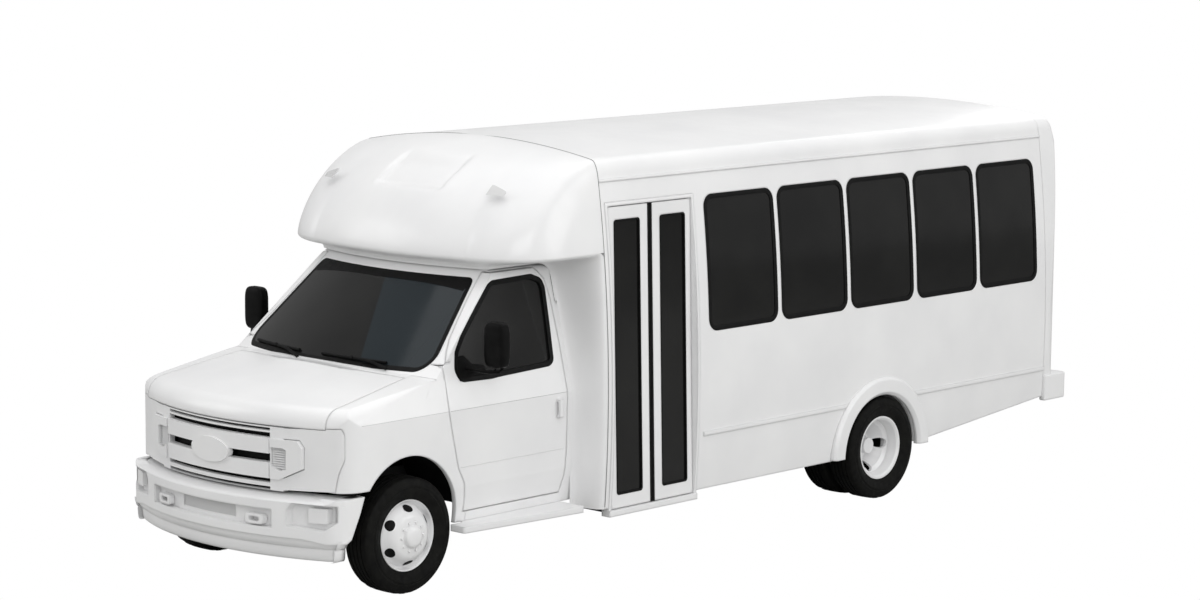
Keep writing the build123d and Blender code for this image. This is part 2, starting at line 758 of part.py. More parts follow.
def bonnet_plan(gap):
    face = poly((-SHUT_X_NOSE, -1000), (SHUT_X_NOSE, -1000), (SHUT_X_NOSE, -420), (SHUT_X_COWL, COWL_Y),
                (300, COWL_Y - 105), (-300, COWL_Y - 105), (-SHUT_X_COWL, COWL_Y), (-SHUT_X_NOSE, -420))
    return offset(face, -gap, kind=Kind.INTERSECTION)


def bonnet():
    plan = prism_z(bonnet_plan(PANEL_GAP / 2), NOSE_EDGE_Z, 1700)
    return cab_shell() & plan & block(-1100, 1100, -1000, COWL_Y, NOSE_EDGE_Z, 1700)


def front_arch():
    """The front wheel's opening in the wing, with a straight front foot."""
    face = Pos(FRONT_ARCH_Y, FRONT_ARCH_Z) * Circle(FRONT_ARCH_R)
    face = face + poly((-432, 0), (FRONT_ARCH_Y, 0), (FRONT_ARCH_Y, 700), (-400, 700))
    face = face + poly((FRONT_ARCH_Y, 0), (405, 0), (FRONT_ARCH_Y + 400, FRONT_ARCH_Z), (FRONT_ARCH_Y, 700))
    return prism_x(face, 500, 1100)


LAMP_END_Y = -520
HEADLAMP_OUTLINE = [
    (566, 1088), (850, 1104), (941, 1108), (966, 1042), (966, 952), (926, 829), (906, 716), (563, 704),
    (563, 766), (720, 843), (722, 982), (690, 1025), (566, 1025),
]


def face_band(out, depth):
    """The space from out in front of the nose's face to depth behind it."""
    band = nose_plan(-out) - nose_plan(depth)
    return prism_z(band, 100, 2100)


def headlamp_prism(gap=0):
    face = poly(*HEADLAMP_OUTLINE)
    if gap:
        face = offset(face, gap, kind=Kind.INTERSECTION)
    return prism_y(face, -900, -300)


def headlamps():
    lamp = face_band(0, 110) & headlamp_prism() & CAB_OUTER & block(0, 1100, -900, LAMP_END_Y, 0, 2000)
    lamp = lamp - block(0, 853, -900, -300, NOSE_EDGE_Z - 4, 1200)
    return solids(both(lamp))


# All that lies ahead of the doorway belongs to the wing: y, z
WING_HOUSE_Z = 1225
WING_OUTLINE = [
    (-900, 200), (480, 200), (482, 648), (430, 747), (380, 963), (352, 1111), (362, 1236), (375, 1405), (-900, 1405),
]


def wing_zone():
    zone = prism_x(poly(*WING_OUTLINE), SHUT_X_COWL + PANEL_GAP / 2, 1100)
    house = screen_prism(-2) & block(-1100, 1100, -500, CAB_REAR_Y, WING_HOUSE_Z, 2100)
    return zone - (house - front_block(-0.5))


def wing():
    lower = block(700, 1100, -900, 0, 0, WING_BOTTOM_Z)
    wing = (cab_shell() & wing_zone()) - lower - prism_z(bonnet_plan(-PANEL_GAP / 2), 1000, 1700)
    lamp = headlamp_prism(3) & block(0, 1100, -900, LAMP_END_Y + 3, 0, 2000)
    wing = wing - lamp - front_arch() - block(700, 905, -900, -560, 0, NOSE_EDGE_Z)
    wing = wing - door_prism(PANEL_GAP) - block(700, 955, -400, 700, 0, 1150)
    return wing.solids().sort_by(SortBy.VOLUME)[-1]


def wings():
    return solids(both(wing()))


def screen_face(grow):
    """The windscreen's outline seen from the front, z against x."""
    z0, z1 = SCREEN_BASE_Z + SCREEN_EDGE_UP - grow, SCREEN_TOP_Z + SCREEN_EDGE_UP + grow
    base, top = SCREEN_BASE_HALF + grow, SCREEN_TOP_HALF + grow
    face = poly((-base, z0), (base, z0), (top, z1), (-top, z1))
    face = fillet(face.vertices().sort_by(Axis.Y)[:2], SCREEN_CORNER_R)
    return fillet(face.vertices().sort_by(Axis.Y)[-2:], SCREEN_CORNER_R * 0.6)


def windscreen():
    pane = (screen_prism(1) - screen_prism(1 + SCREEN_T)) & prism_y(screen_face(0), -500, 1300)
    return pane


def cab_frame():
    """Cowl, pillars, roof and sills of the cab: all that the doors close on."""
    ahead = prism_z(bonnet_plan(-PANEL_GAP / 2) + rect(-1100, 1100, -1000, COWL_Y - 60), 0, 1700)
    shell = cab_shell() - ahead
    shell = shell - prism_y(screen_face(-SCREEN_LEDGE), -600, 1100)
    shell = shell - ((screen_prism(-3) - screen_prism(1.3 + SCREEN_T)) & prism_y(screen_face(0), -600, 1100))
    opening = door_prism(PANEL_GAP) + wing_zone()
    shell = shell - opening - mirrored(opening)
    shell = shell - block(-880, 880, -900, CAB_REAR_Y + 5, 300, 900)
    shell = shell - block(-860, 860, CAB_REAR_Y - SKIN - 5, CAB_REAR_Y + 5, 420, CAB_ROOF_EDGE_Z - 10)
    return shell


# ---------------------------------------------------------------------------
# Grille, bumper and what is below them
# ---------------------------------------------------------------------------
GRILLE_HALF = 575
GRILLE_Z0 = 694
GRILLE_Z1 = 1092
COLUMN_X = 483
BAR_PROUD = 14
BRACKET_PROUD = 22
# The grille's through slots: z from, z to, |x| from, |x| to
GRILLE_SLOTS = [
    (695, 716, 0, COLUMN_X), (740, 768, 0, COLUMN_X), (868, 925, 0, COLUMN_X),
    (1022, 1054, 0, COLUMN_X), (1066, 1084, 0, COLUMN_X),
]
BRACKET_OUTLINE = [(500, 770), (561, 770), (715, 846), (717, 978), (685, 1020), (500, 1020)]
BRACKET_WINDOW = [(492, 856), (560, 822), (612, 838), (614, 958), (590, 968), (492, 968)]
BADGE_HALF_X = 175
BADGE_HALF_Z = 79
BADGE_Z = 900


def grille():
    plate = face_band(0, 40) & block(-GRILLE_HALF, GRILLE_HALF, -900, 0, GRILLE_Z0, GRILLE_Z1)
    bars = block(-COLUMN_X, COLUMN_X, -900, 0, 770, 868) + block(-COLUMN_X, COLUMN_X, -900, 0, 925, 1020)
    bars = face_band(BAR_PROUD, 40) & bars
    bracket = prism_y(poly(*BRACKET_OUTLINE), -900, -300)
    ring = face_band(BRACKET_PROUD, 40) & (both(bracket))
    body = plate + bars + ring
    for z0, z1, x0, x1 in GRILLE_SLOTS:
        body = body - block(-x1, x1, -900, 0, z0, z1)
    well = prism_y(poly(*BRACKET_WINDOW), -900, -300)
    body = body - (both(well) & face_band(60, 14)) - both(headlamp_prism())
    oval = prism_y(Pos(0, BADGE_Z) * Ellipse(BADGE_HALF_X, BADGE_HALF_Z), -900, -600)
    return body + (oval & face_band(BAR_PROUD + 16, 12))


def radiator():
    """The core on the frame's front ends, with the panels that hold the grille."""
    core = block(-470, 470, -640, -590, FRAME_Z1, 1080)
    panel = block(470, 556, -800, -590, FRAME_Z1, 1080) & prism_z(nose_plan(40), 100, 2100)
    return core + both(panel)


BUMPER_Z0 = 422
BUMPER_Z1 = 647
BUMPER_END_Z0 = 401
BUMPER_END_Z1 = 677
BUMPER_MID_HALF = 567
BUMPER_END_X = 962
BUMPER_T = 70


def bumper_plan(inset):
    face = Pos(0, BUMPER_Y + NOSE_R) * Circle(NOSE_R - inset)
    face = face & rect(-BUMPER_END_X - 30 + inset, BUMPER_END_X + 30 - inset, -1000, -300)
    corners = face.vertices().sort_by(Axis.Y)[:2]
    return fillet(corners, 150 - inset)


def bumper_band(inset, depth):
    return prism_z(bumper_plan(inset) - bumper_plan(depth), 100, 1000)


def bumper_side():
    """The bumper seen from the side, across the whole width."""
    side = poly((-1000, BUMPER_Z0), (-700, BUMPER_Z0), (-640, BUMPER_END_Z0), (-531, BUMPER_END_Z0),
                (-494, 423), (-421, 577), (-384, BUMPER_END_Z1), (-600, BUMPER_END_Z1),
                (-640, BUMPER_Z1), (-1000, BUMPER_Z1))
    return prism_x(side, -1100, 1100)


def front_bumper():
    body = bumper_band(0, BUMPER_T) & bumper_side()
    body = body - (bumper_band(-20, 46) & block(-561, 561, -1000, 0, 478, 592))
    body = body - block(-249, 249, -1000, 0, 507, 580)
    for flip in (1, -1):
        fog = prism_y(poly(*[(flip * x, z) for x, z in
                             ((665, 500), (900, 486), (965, 540), (965, 640), (700, 648), (665, 600))]), -1000, -400)
        body = body - (bumper_band(-20, 50) & fog)
    return body


def fog_lamps():
    lamp = prism_y(rect(800, 915, 530, 622, 8), -1000, -300) & bumper_band(12, 50)
    return solids(both(lamp))


def tow_hooks():
    loop = rect(360, 500, 488, 552, 24) - rect(392, 468, 506, 534, 10)
    hook = prism_y(loop, -860, -700) & bumper_band(4, 46)
    return solids(both(hook))


VALANCE_Z0 = 285


def valance():
    body = bumper_band(28, 52) & block(-1100, 1100, -1000, -540, VALANCE_Z0, BUMPER_Z0)
    raised = prism_y(poly((560, 200), (620, 326), (1100, 326), (1100, 200)), -1000, 0)
    return body - bumper_side() - both(raised)


# ---------------------------------------------------------------------------
# Boards, rear bumper, lamps
# ---------------------------------------------------------------------------
def running_boards():
    plan = poly((1003, 340), (1118, 340), (1128, 350), (1208, 1340), (1198, 1355), (930, 1355), (930, 500),
                (1003, 440))
    board = prism_z(plan, 356, CAB_SILL_Z)
    board = board - (prism_z(offset(plan, -26, kind=Kind.INTERSECTION), 340, 380))
    return solids(both(board))


def rear_bumper():
    bar = block(-1190, 1190, 6560, REAR_BUMPER_Y, 472, 675)
    bar = fillet(bar.edges().filter_by(Axis.Z).sort_by(Axis.Y)[-2:], 60)
    bar = bar + both(block(1160, 1240, 6520, 6735, 472, 675)) - rear_solid(-1)
    return bar + both(bumper_arm())


def bumper_arm(gap=0):
    """One of the two arms that carry the rear bumper on the frame's ends."""
    return block(FRAME_X - gap, FRAME_X + FRAME_W + gap, FRAME_REAR_Y, 6700, 520 - gap, 640 + gap)


def tail_lamps():
    lamps = []
    for z in (980, 1130, 1280):
        for side in (1, -1):
            cup = rod_y(56, 6600, 6775, side * 820, z)
            lamps.append((cup & rear_solid(-12)) - rear_solid(0))
    return solids(*lamps, *marker_lamps())


def marker_lamps():
    lamps = []
    for x in (-790, 790):
        pod = Pos(x, 935, 2456) * Box(120, 90, 60)
        lamps.append((pod & cap_dome(-10)) - cap_dome(0))
    for x in (-700, -90, 0, 90, 700):
        pod = Pos(x, 6640, 2560) * Box(70, 200, 34)
        lamps.append((pod & rear_solid(-10)) - rear_solid(0))
    return lamps


# ---------------------------------------------------------------------------
# Frame and running gear
# ---------------------------------------------------------------------------
def chassis_frame():
    rail = block(FRAME_X, FRAME_X + FRAME_W, FRAME_FRONT_Y, FRAME_REAR_Y, FRAME_Z0, FRAME_Z1)
    rail = rail - block(FRAME_X - 1, FRAME_X + FRAME_W - 8, FRAME_FRONT_Y - 1, FRAME_REAR_Y + 1,
                        FRAME_Z0 + 8, FRAME_Z1 - 8)
    frame = both(rail)
    for y in (-560, 1650, 2800, 3700, 5000, 5950, 6480):
        frame = frame + block(-FRAME_X, FRAME_X, y, y + 60, FRAME_Z0 + 30, FRAME_Z1 - 30)
        frame = frame + both(block(FRAME_X - 1, FRAME_X + FRAME_W - 4, y, y + 60, FRAME_Z0 + 4, FRAME_Z1 - 4))
    horn = block(FRAME_X, FRAME_X + FRAME_W, -772, FRAME_FRONT_Y, 470, 600)
    horn = horn + block(FRAME_X, FRAME_X + FRAME_W, FRAME_FRONT_Y - 1, FRAME_FRONT_Y + 60, 500, 640)
    frame = frame + both(horn - bumper_solid())
    for y in (480, 1250):
        frame = frame + both(block(FRAME_X + 20, WELL_X, y, y + 60, 560, 600))
    return frame


def bumper_solid():
    return prism_z(bumper_plan(0) - bumper_plan(BUMPER_T), 100, 1000)


WELL_X = 931


def cab_floor():
    """Floor pan on the frame, the bulkhead with its engine hump, and the doorsteps' walls."""
    half = CAB_SILL_HALF - SKIN
    pan = block(-half, half, 500, CAB_REAR_Y, FRAME_Z1, FRAME_Z1 + 24)
    wall = block(-half, half, 500, 530, FRAME_Z1, 1180)
    hump = block(-310, 310, 500, 1000, FRAME_Z1, 1090)
    well = block(WELL_X, half, 484, 1428, CAB_SILL_Z + SKIN, FRAME_Z1)
    riser = block(-860, 860, CAB_REAR_Y - 22, SEAM_Y - 90, FRAME_Z1, FLOOR_TOP)
    return pan + wall + hump + both(well) + riser - block(-290, 290, 400, 980, 600, 1070)


ENGINE_Z0 = 380


SHAFT_Z = TYRE_R + 30
GEARBOX_Y = 1380


def engine():
    core = block(-280, 280, -420, 470, ENGINE_Z0 + 60, 1040)
    gearbox = block(-170, 170, 470, GEARBOX_Y, ENGINE_Z0, 620)
    feet = block(-FRAME_X - FRAME_W + 8, FRAME_X + FRAME_W - 8, -100, -30, FRAME_Z0 + 8, FRAME_Z0 + 60)
    return core + gearbox + feet


def driveshaft():
    return rod_y(45, GEARBOX_Y, WHEELBASE - 260, 0, SHAFT_Z)


def fuel_tank():
    tank = block(-400, 400, 5075, 5935, 400, 660)
    tank = fillet(tank.edges().filter_by(Axis.X), 50)
    return tank + both(block(396, FRAME_X + FRAME_W - 8, 5400, 5600, FRAME_Z0 + 8, FRAME_Z0 + 30))


def exhaust():
    pipe = rod_y(32, GEARBOX_Y, 3700, -620, 560)
    muffler = rod_y(110, 2000, 2600, -620, 560)
    hanger = block(-640, -FRAME_X - FRAME_W, 1940, 1980, 545, 575)
    return pipe + muffler + hanger + Pos(0, 1660, 0) * hanger


def tyre(x_mid):
    """A tyre about its own axle, with round shoulders and bulged walls."""
    half = TYRE_W / 2
    tread = half - 26
    line = Polyline((RIM_R, -RIM_W / 2), (RIM_R + 4, -RIM_W / 2 - 12), (RIM_R + 62, -half),
                    (TYRE_R - 34, -half + 4), (TYRE_R - 9, -tread), (TYRE_R, -tread + 30),
                    (TYRE_R, tread - 30), (TYRE_R - 9, tread), (TYRE_R - 34, half - 4),
                    (RIM_R + 62, half), (RIM_R + 4, RIM_W / 2 + 12), (RIM_R, RIM_W / 2), close=True)
    face = make_face(line)
    turned = revolve(Plane(origin=(0, 0, 0), x_dir=(0, 0, 1), z_dir=(0, 1, 0)) * face, Axis.X, 360)
    return Pos(x_mid, 0, TYRE_R) * turned


def turned_x(points, x0):
    """A ring turned about the wheel's axle from (radius, x) points."""
    face = make_face(Polyline(*points, close=True))
    plane = Plane(origin=(0, 0, 0), x_dir=(0, 0, 1), z_dir=(0, 1, 0))
    turned = revolve(plane * face, Axis.X, 360)
    return Pos(x0, 0, TYRE_R) * turned


RIM_WALL = 9
HAND_HOLES = 4
HAND_HOLE_R = 36
HAND_HOLE_CIRCLE = 150
DISC_FLAT_R = 118


def rim(x_mid, side):
    """side is +1 where the disc stands outward (away from the vehicle) and -1 where it is dished."""
    half = RIM_W / 2
    seat = RIM_R - 16
    barrel = [(RIM_R, -half), (RIM_R, -half - RIM_LIP), (RIM_R - 12, -half - RIM_LIP), (seat - RIM_WALL, -half + 6),
              (seat - 12 - RIM_WALL, -20), (seat - 12 - RIM_WALL, 20), (seat - RIM_WALL, half - 6),
              (RIM_R - 12, half + RIM_LIP), (RIM_R, half + RIM_LIP), (RIM_R, half), (seat, half - 10),
              (seat - 12, 26), (seat - 12, -26), (seat, -half + 10)]
    ring = turned_x(barrel, x_mid)
    root = seat - 12 - RIM_WALL + 3
    face_x = DISC_OFFSET * side
    near = face_x - DISC_T * side
    disc = [(HUB_R - 10, near), (HUB_R - 10, face_x), (DISC_FLAT_R, face_x), (root - 22, 34 * side),
            (root, 18 * side), (root, -12 * side + 12 * side), (root - 30, 18 * side), (DISC_FLAT_R - 8, near)]
    plate = turned_x(disc, x_mid)
    for i in range(HAND_HOLES):
        angle = 360 / HAND_HOLES * i
        y = HAND_HOLE_CIRCLE * math.sin(math.radians(angle))
        z = TYRE_R + HAND_HOLE_CIRCLE * math.cos(math.radians(angle))
        plate = plate - rod_x(HAND_HOLE_R, x_mid - 300, x_mid + 300, y, z)
    return ring + plate


def front_hub(x_face):
    """The hub that carries the front wheel's disc, bored for its spindle."""
    cap = rod_x(HUB_R - 10, x_face - 150, x_face + 34, 0, TYRE_R)
    flange = rod_x(DISC_FLAT_R, x_face - DISC_T - 16, x_face - DISC_T, 0, TYRE_R)
    bore = rod_x(SPINDLE_R + RUNNING_CLEARANCE, x_face - 151, x_face - 20, 0, TYRE_R)
    return cap + flange - bore


def front_tyre():
    return tyre(FRONT_HALF_TRACK)


def front_rim():
    x_face = FRONT_HALF_TRACK + DISC_OFFSET
    return rim(FRONT_HALF_TRACK, 1) + front_hub(x_face)


KINGPIN_R = 20


def knuckle():
    """Upright, kingpin sleeve and spindle of one front wheel."""
    tip = FRONT_HALF_TRACK + DISC_OFFSET - 26
    spindle = rod_x(SPINDLE_R, KINGPIN_X, tip, 0, TYRE_R)
    post = block(KINGPIN_X - 34, KINGPIN_X + 34, -40, 40, TYRE_R - 60, TYRE_R + 60)
    arm = block(KINGPIN_X - 34, KINGPIN_X - 4, 30, 190, TYRE_R - 40, TYRE_R - 16)
    body = post + spindle + arm
    return body - rod_z(KINGPIN_R + RUNNING_CLEARANCE, 0, 900, KINGPIN_X, 0)


def front_axle():
    """The beam with a fork and kingpin at each end, and the two coils it stands under."""
    fork_x = KINGPIN_X - 130
    beam = block(-fork_x - 30, fork_x + 30, -45, 45, 275, 375)
    end_low = block(fork_x, KINGPIN_X + 34, -40, 40, TYRE_R - 100, TYRE_R - 66)
    end_high = block(fork_x, KINGPIN_X + 34, -40, 40, TYRE_R + 66, TYRE_R + 100)
    riser = block(fork_x, fork_x + 40, -40, 40, TYRE_R - 100, TYRE_R + 100)
    pin = rod_z(KINGPIN_R, TYRE_R - 90, TYRE_R + 90, KINGPIN_X, 0)
    coil = rod_z(70, 375, FRAME_Z0, FRAME_X + 60, 0) - rod_z(56, 374, FRAME_Z0 + 1, FRAME_X + 60, 0)
    return beam + both(end_low + end_high + riser + pin + coil)


def wheel_liners():
    """The vaults over the front wheels."""
    ring = (Circle(LINER_R + 12) - Circle(LINER_R)) & rect(-500, 500, 50, 600)
    liner = prism_x(Pos(FRONT_ARCH_Y, FRONT_ARCH_Z) * ring, 560, CAB_HALF - SKIN)
    liner = (liner & CAB_INNER) - block(900, 1100, -600, -360, 0, BUMPER_END_Z1 + 12)
    return solids(both(liner))


AXLE_END = 900


def rear_axle():
    tube = rod_x(52, -AXLE_END, AXLE_END, WHEELBASE, TYRE_R)
    spindle = rod_x(SPINDLE_R, -REAR_HALF_TRACK - 80, REAR_HALF_TRACK + 80, WHEELBASE, TYRE_R)
    bowl = Pos(0, WHEELBASE, TYRE_R) * Sphere(190)
    nose = rod_y(60, WHEELBASE - 260, WHEELBASE, 0, SHAFT_Z)
    return tube + spindle + bowl + nose


LEAF_Z = TYRE_R + 52


def leaf_springs():
    """A bowed pack on each side of the axle and the shackles that hang it from the frame."""
    ring = Pos(WHEELBASE, LEAF_Z + 1400) * (Circle(1400) - Circle(1355))
    bow = ring & rect(WHEELBASE - 620, WHEELBASE + 620, LEAF_Z - 5, LEAF_Z + 300)
    x0 = FRAME_X + FRAME_W
    pack = prism_x(bow, x0 + 12, x0 + 87)
    for y in (WHEELBASE - 640, WHEELBASE + 580):
        pack = pack + block(x0, x0 + 12, y, y + 60, 520, 640) + block(x0 + 12, x0 + 87, y + 5, y + 55, 560, 630)
    return solids(both(pack))


def rear_tyres():
    tyres = [tyre(REAR_HALF_TRACK - DUAL_SPACING / 2), tyre(REAR_HALF_TRACK + DUAL_SPACING / 2)]
    return solids(*tyres)


def rear_rims():
    half = DUAL_SPACING / 2
    outer = rim(REAR_HALF_TRACK + half, -1)
    inner = rim(REAR_HALF_TRACK - half, 1)
    hub = rod_x(HUB_R - 10, REAR_HALF_TRACK - 60, REAR_HALF_TRACK + 108, 0, TYRE_R)
    plate = rod_x(DISC_FLAT_R, REAR_HALF_TRACK - half + DISC_OFFSET, REAR_HALF_TRACK + half - DISC_OFFSET, 0, TYRE_R)
    bore = rod_x(SPINDLE_R + RUNNING_CLEARANCE, REAR_HALF_TRACK - 61, REAR_HALF_TRACK + 86, 0, TYRE_R)
    return outer + inner + plate + hub - bore


def at_rear(shape):
    return Pos(0, WHEELBASE, 0) * shape


# ---------------------------------------------------------------------------
# Inside, as it shows through the glass
# ---------------------------------------------------------------------------
SEAT_ROWS = 5
SEAT_Y = 2640
SEAT_PITCH = 740


def bench(x0, x1, y, z):
    """A seat for two: cushion, back and pedestal."""
    face = poly((y, z + 320), (y + 60, z + 440), (y + 430, z + 410), (y + 500, z + 1080), (y + 590, z + 1070),
                (y + 530, z + 300), (y + 30, z + 290))
    seat = prism_x(face, x0, x1)
    leg = block(x0 + 60, x1 - 60, y + 180, y + 380, z, z + 295)
    return seat + leg


def seats():
    """Five benches for two along each side, and the two seats of the cab."""
    found = [bench(330, 740, 850, FRAME_Z1 + 24), bench(-740, -330, 850, FRAME_Z1 + 24)]
    for i in range(SEAT_ROWS):
        y = SEAT_Y + SEAT_PITCH * i
        found.append(bench(280, 1120, y, FLOOR_TOP))
        found.append(bench(-1120, -280, y, FLOOR_TOP))
    return solids(*found)


WHEEL_R = 200


def dashboard():
    """The dash panel on the bulkhead, with the steering wheel's column out of it."""
    face = poly((530, 1000), (530, 1180), (420, 1200), (300, 1290), (380, 1330), (640, 1300), (700, 1180),
                (680, 1060), (600, 980))
    dash = (prism_x(face, -880, 880) & CAB_INNER) - block(-310, 310, 500, 1000, 0, 1090)
    ring = Torus(WHEEL_R, 15) + Cylinder(42, 40) + Box(2 * WHEEL_R - 10, 34, 14)
    column = Pos(0, 0, -110) * Cylinder(26, 200)
    return dash + Pos(500, 770, 1320) * Rot(-32, 0, 0) * (ring + column)


NODES = [
    ("chassis_frame", chassis_frame), ("front_axle", front_axle), ("rear_axle", rear_axle),
    ("leaf_springs", leaf_springs), ("driveshaft", driveshaft), ("engine", engine), ("exhaust", exhaust),
    ("fuel_tank", fuel_tank), ("radiator", radiator),
    ("knuckle_left", knuckle), ("knuckle_right", lambda: mirrored(knuckle())),
    ("front_tyre_left", front_tyre), ("front_tyre_right", lambda: mirrored(front_tyre())),
    ("front_rim_left", front_rim), ("front_rim_right", lambda: mirrored(front_rim())),
    ("rear_tyres_left", lambda: at_rear(rear_tyres())),
    ("rear_tyres_right", lambda: mirrored(at_rear(rear_tyres()))),
    ("rear_rims_left", lambda: at_rear(rear_rims())),
    ("rear_rims_right", lambda: mirrored(at_rear(rear_rims()))),
    ("cab_frame", cab_frame), ("cab_floor", cab_floor), ("bonnet", bonnet), ("wings", wings),
    ("wheel_liners", wheel_liners), ("grille", grille), ("headlamps", headlamps),
    ("front_bumper", front_bumper), ("fog_lamps", fog_lamps), ("tow_hooks", tow_hooks),
    ("valance", valance), ("windscreen", windscreen), ("running_boards", running_boards),
    ("cab_door_left", cab_door), ("cab_door_right", lambda: mirrored(cab_door())),
    ("door_glass_left", door_glass), ("door_glass_right", lambda: mirrored(door_glass())),
    ("door_mirror_left", door_mirror), ("door_mirror_right", lambda: mirrored(door_mirror())),
    ("front_cap", front_cap), ("front_corner_panels", front_corner_panels),
    ("body_side_left", body_side_left), ("body_side_right", body_side_right), ("roof", roof),
    ("rear_cap", rear_cap), ("rear_door", rear_door), ("rear_door_glass", rear_door_glass),
    ("window_glass", window_glass), ("arch_flares", arch_flares), ("entry_frame", entry_frame),
    ("entry_steps", entry_steps), ("entry_leaf_front", entry_leaf_front), ("entry_leaf_rear", entry_leaf_rear),
    ("entry_pane_front", entry_pane_front), ("entry_pane_rear", entry_pane_rear),
    ("floor", floor), ("rear_bumper", rear_bumper), ("tail_lamps", tail_lamps),
    ("seats", seats), ("dashboard", dashboard),
]

if __name__ == "__main__":
    os.makedirs("parts", exist_ok=True)
    for name, make in NODES:
        pieces = (Pos(0, -Y_MID, 0) * make()).solids()
        export_step(pieces[0] if len(pieces) == 1 else Compound(pieces), f"parts/{name}.step")
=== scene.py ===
"""Looks of a cutaway shuttle minibus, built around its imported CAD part.

Everything is in metres in the part's own frame: +Z up, -Y to the front, +X to the vehicle's left.
"""
import json
import math

import bmesh
import bpy
from mathutils import Matrix, Vector
from mathutils.bvhtree import BVHTree


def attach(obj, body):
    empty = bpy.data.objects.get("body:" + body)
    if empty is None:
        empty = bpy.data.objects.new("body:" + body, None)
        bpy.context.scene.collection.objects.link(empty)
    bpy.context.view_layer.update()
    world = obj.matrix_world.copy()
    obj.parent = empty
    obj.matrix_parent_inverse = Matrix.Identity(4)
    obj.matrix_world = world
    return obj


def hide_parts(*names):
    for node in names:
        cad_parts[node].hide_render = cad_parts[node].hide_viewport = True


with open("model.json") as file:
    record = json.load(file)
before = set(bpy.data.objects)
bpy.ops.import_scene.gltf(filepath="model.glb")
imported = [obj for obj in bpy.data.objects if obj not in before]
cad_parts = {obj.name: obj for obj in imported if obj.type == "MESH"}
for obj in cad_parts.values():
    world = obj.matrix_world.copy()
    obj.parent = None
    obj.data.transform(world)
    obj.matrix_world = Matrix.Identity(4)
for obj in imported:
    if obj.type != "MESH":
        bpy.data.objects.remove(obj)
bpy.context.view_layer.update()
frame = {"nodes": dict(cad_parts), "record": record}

AXLE_Y = -2.975

# ---------------------------------------------------------------------------
# The body's and the cab's main surfaces, as the part has them
# ---------------------------------------------------------------------------
BODY_HALF = 1.219
BODY_SIDE_R = 9.960
BODY_BULGE_Z = 1.052
CAB_HALF = 1.005
BELT_Z = 1.120
CAB_LEAN = (1.005 - 0.800) / (1.945 - 1.120)
SCREEN_BASE_Y = 0.095
SCREEN_BASE_Z = 1.350
SCREEN_RAKE = (0.715 - 0.095) / 0.540
SCREEN_R = 2.404
ENTRY_Z0, ENTRY_Z1 = 0.327, 2.330
NOSE_Y, NOSE_R = -0.764, 2.080


def body_x(z):
    return BODY_HALF - BODY_SIDE_R + math.sqrt(BODY_SIDE_R ** 2 - (z - BODY_BULGE_Z) ** 2)


def cab_x(z):
    return CAB_HALF - max(0.0, z - BELT_Z) * CAB_LEAN


def leaf_x(z):
    top, bottom = body_x(ENTRY_Z1), body_x(ENTRY_Z0)
    return top + (bottom - top) * (ENTRY_Z1 - z) / (ENTRY_Z1 - ENTRY_Z0)


def screen_y(x, z):
    mid = SCREEN_BASE_Y + SCREEN_RAKE * (z - SCREEN_BASE_Z)
    return mid + SCREEN_R - math.sqrt(SCREEN_R ** 2 - x * x) + AXLE_Y


def nose_y(x, r=NOSE_R, y=NOSE_Y):
    return y + r - math.sqrt(r * r - x * x) + AXLE_Y


# ---------------------------------------------------------------------------
# Materials
# ---------------------------------------------------------------------------
class Mat:
    """A principled material whose colour, roughness and bump come from noise."""

    def __init__(self, name):
        self.mat = bpy.data.materials.new(name)
        self.mat.use_nodes = True
        self.tree = self.mat.node_tree
        self.bsdf = self.tree.nodes["Principled BSDF"]
        self.coord = self.add("ShaderNodeTexCoord").outputs["Object"]

    def add(self, kind, **values):
        node = self.tree.nodes.new(kind)
        for key, value in values.items():
            setattr(node, key, value)
        return node

    def link(self, a, b):
        self.tree.links.new(a, b)

    def set(self, **values):
        for key, value in values.items():
            self.bsdf.inputs[key.replace("_", " ")].default_value = value
        return self

    def noise(self, scale, detail=3.0, stretch=(1, 1, 1)):
        mapping = self.add("ShaderNodeMapping")
        mapping.inputs["Scale"].default_value = stretch
        self.link(self.coord, mapping.inputs["Vector"])
        node = self.add("ShaderNodeTexNoise")
        node.inputs["Scale"].default_value = scale
        node.inputs["Detail"].default_value = detail
        self.link(mapping.outputs["Vector"], node.inputs["Vector"])
        return node.outputs["Fac"]

    def spread(self, fac, low, high, lo=0.3, hi=0.7):
        node = self.add("ShaderNodeMapRange")
        node.inputs["From Min"].default_value = lo
        node.inputs["From Max"].default_value = hi
        node.inputs["To Min"].default_value = low
        node.inputs["To Max"].default_value = high
        self.link(fac, node.inputs["Value"])
        return node.outputs["Result"]

    def colour(self, fac, dark, light):
        ramp = self.add("ShaderNodeValToRGB")
        ramp.color_ramp.elements[0].position = 0.3
        ramp.color_ramp.elements[1].position = 0.7
        ramp.color_ramp.elements[0].color = (*dark, 1)
        ramp.color_ramp.elements[1].color = (*light, 1)
        self.link(fac, ramp.inputs["Fac"])
        self.link(ramp.outputs["Color"], self.bsdf.inputs["Base Color"])
        return ramp

    def rough(self, fac, low, high):
        self.link(self.spread(fac, low, high), self.bsdf.inputs["Roughness"])
        return self

    def bump(self, fac, distance, strength=1.0):
        node = self.add("ShaderNodeBump")
        node.inputs["Distance"].default_value = distance
        node.inputs["Strength"].default_value = strength
        self.link(fac, node.inputs["Height"])
        self.link(node.outputs["Normal"], self.bsdf.inputs["Normal"])
        self.last_bump = node
        return self


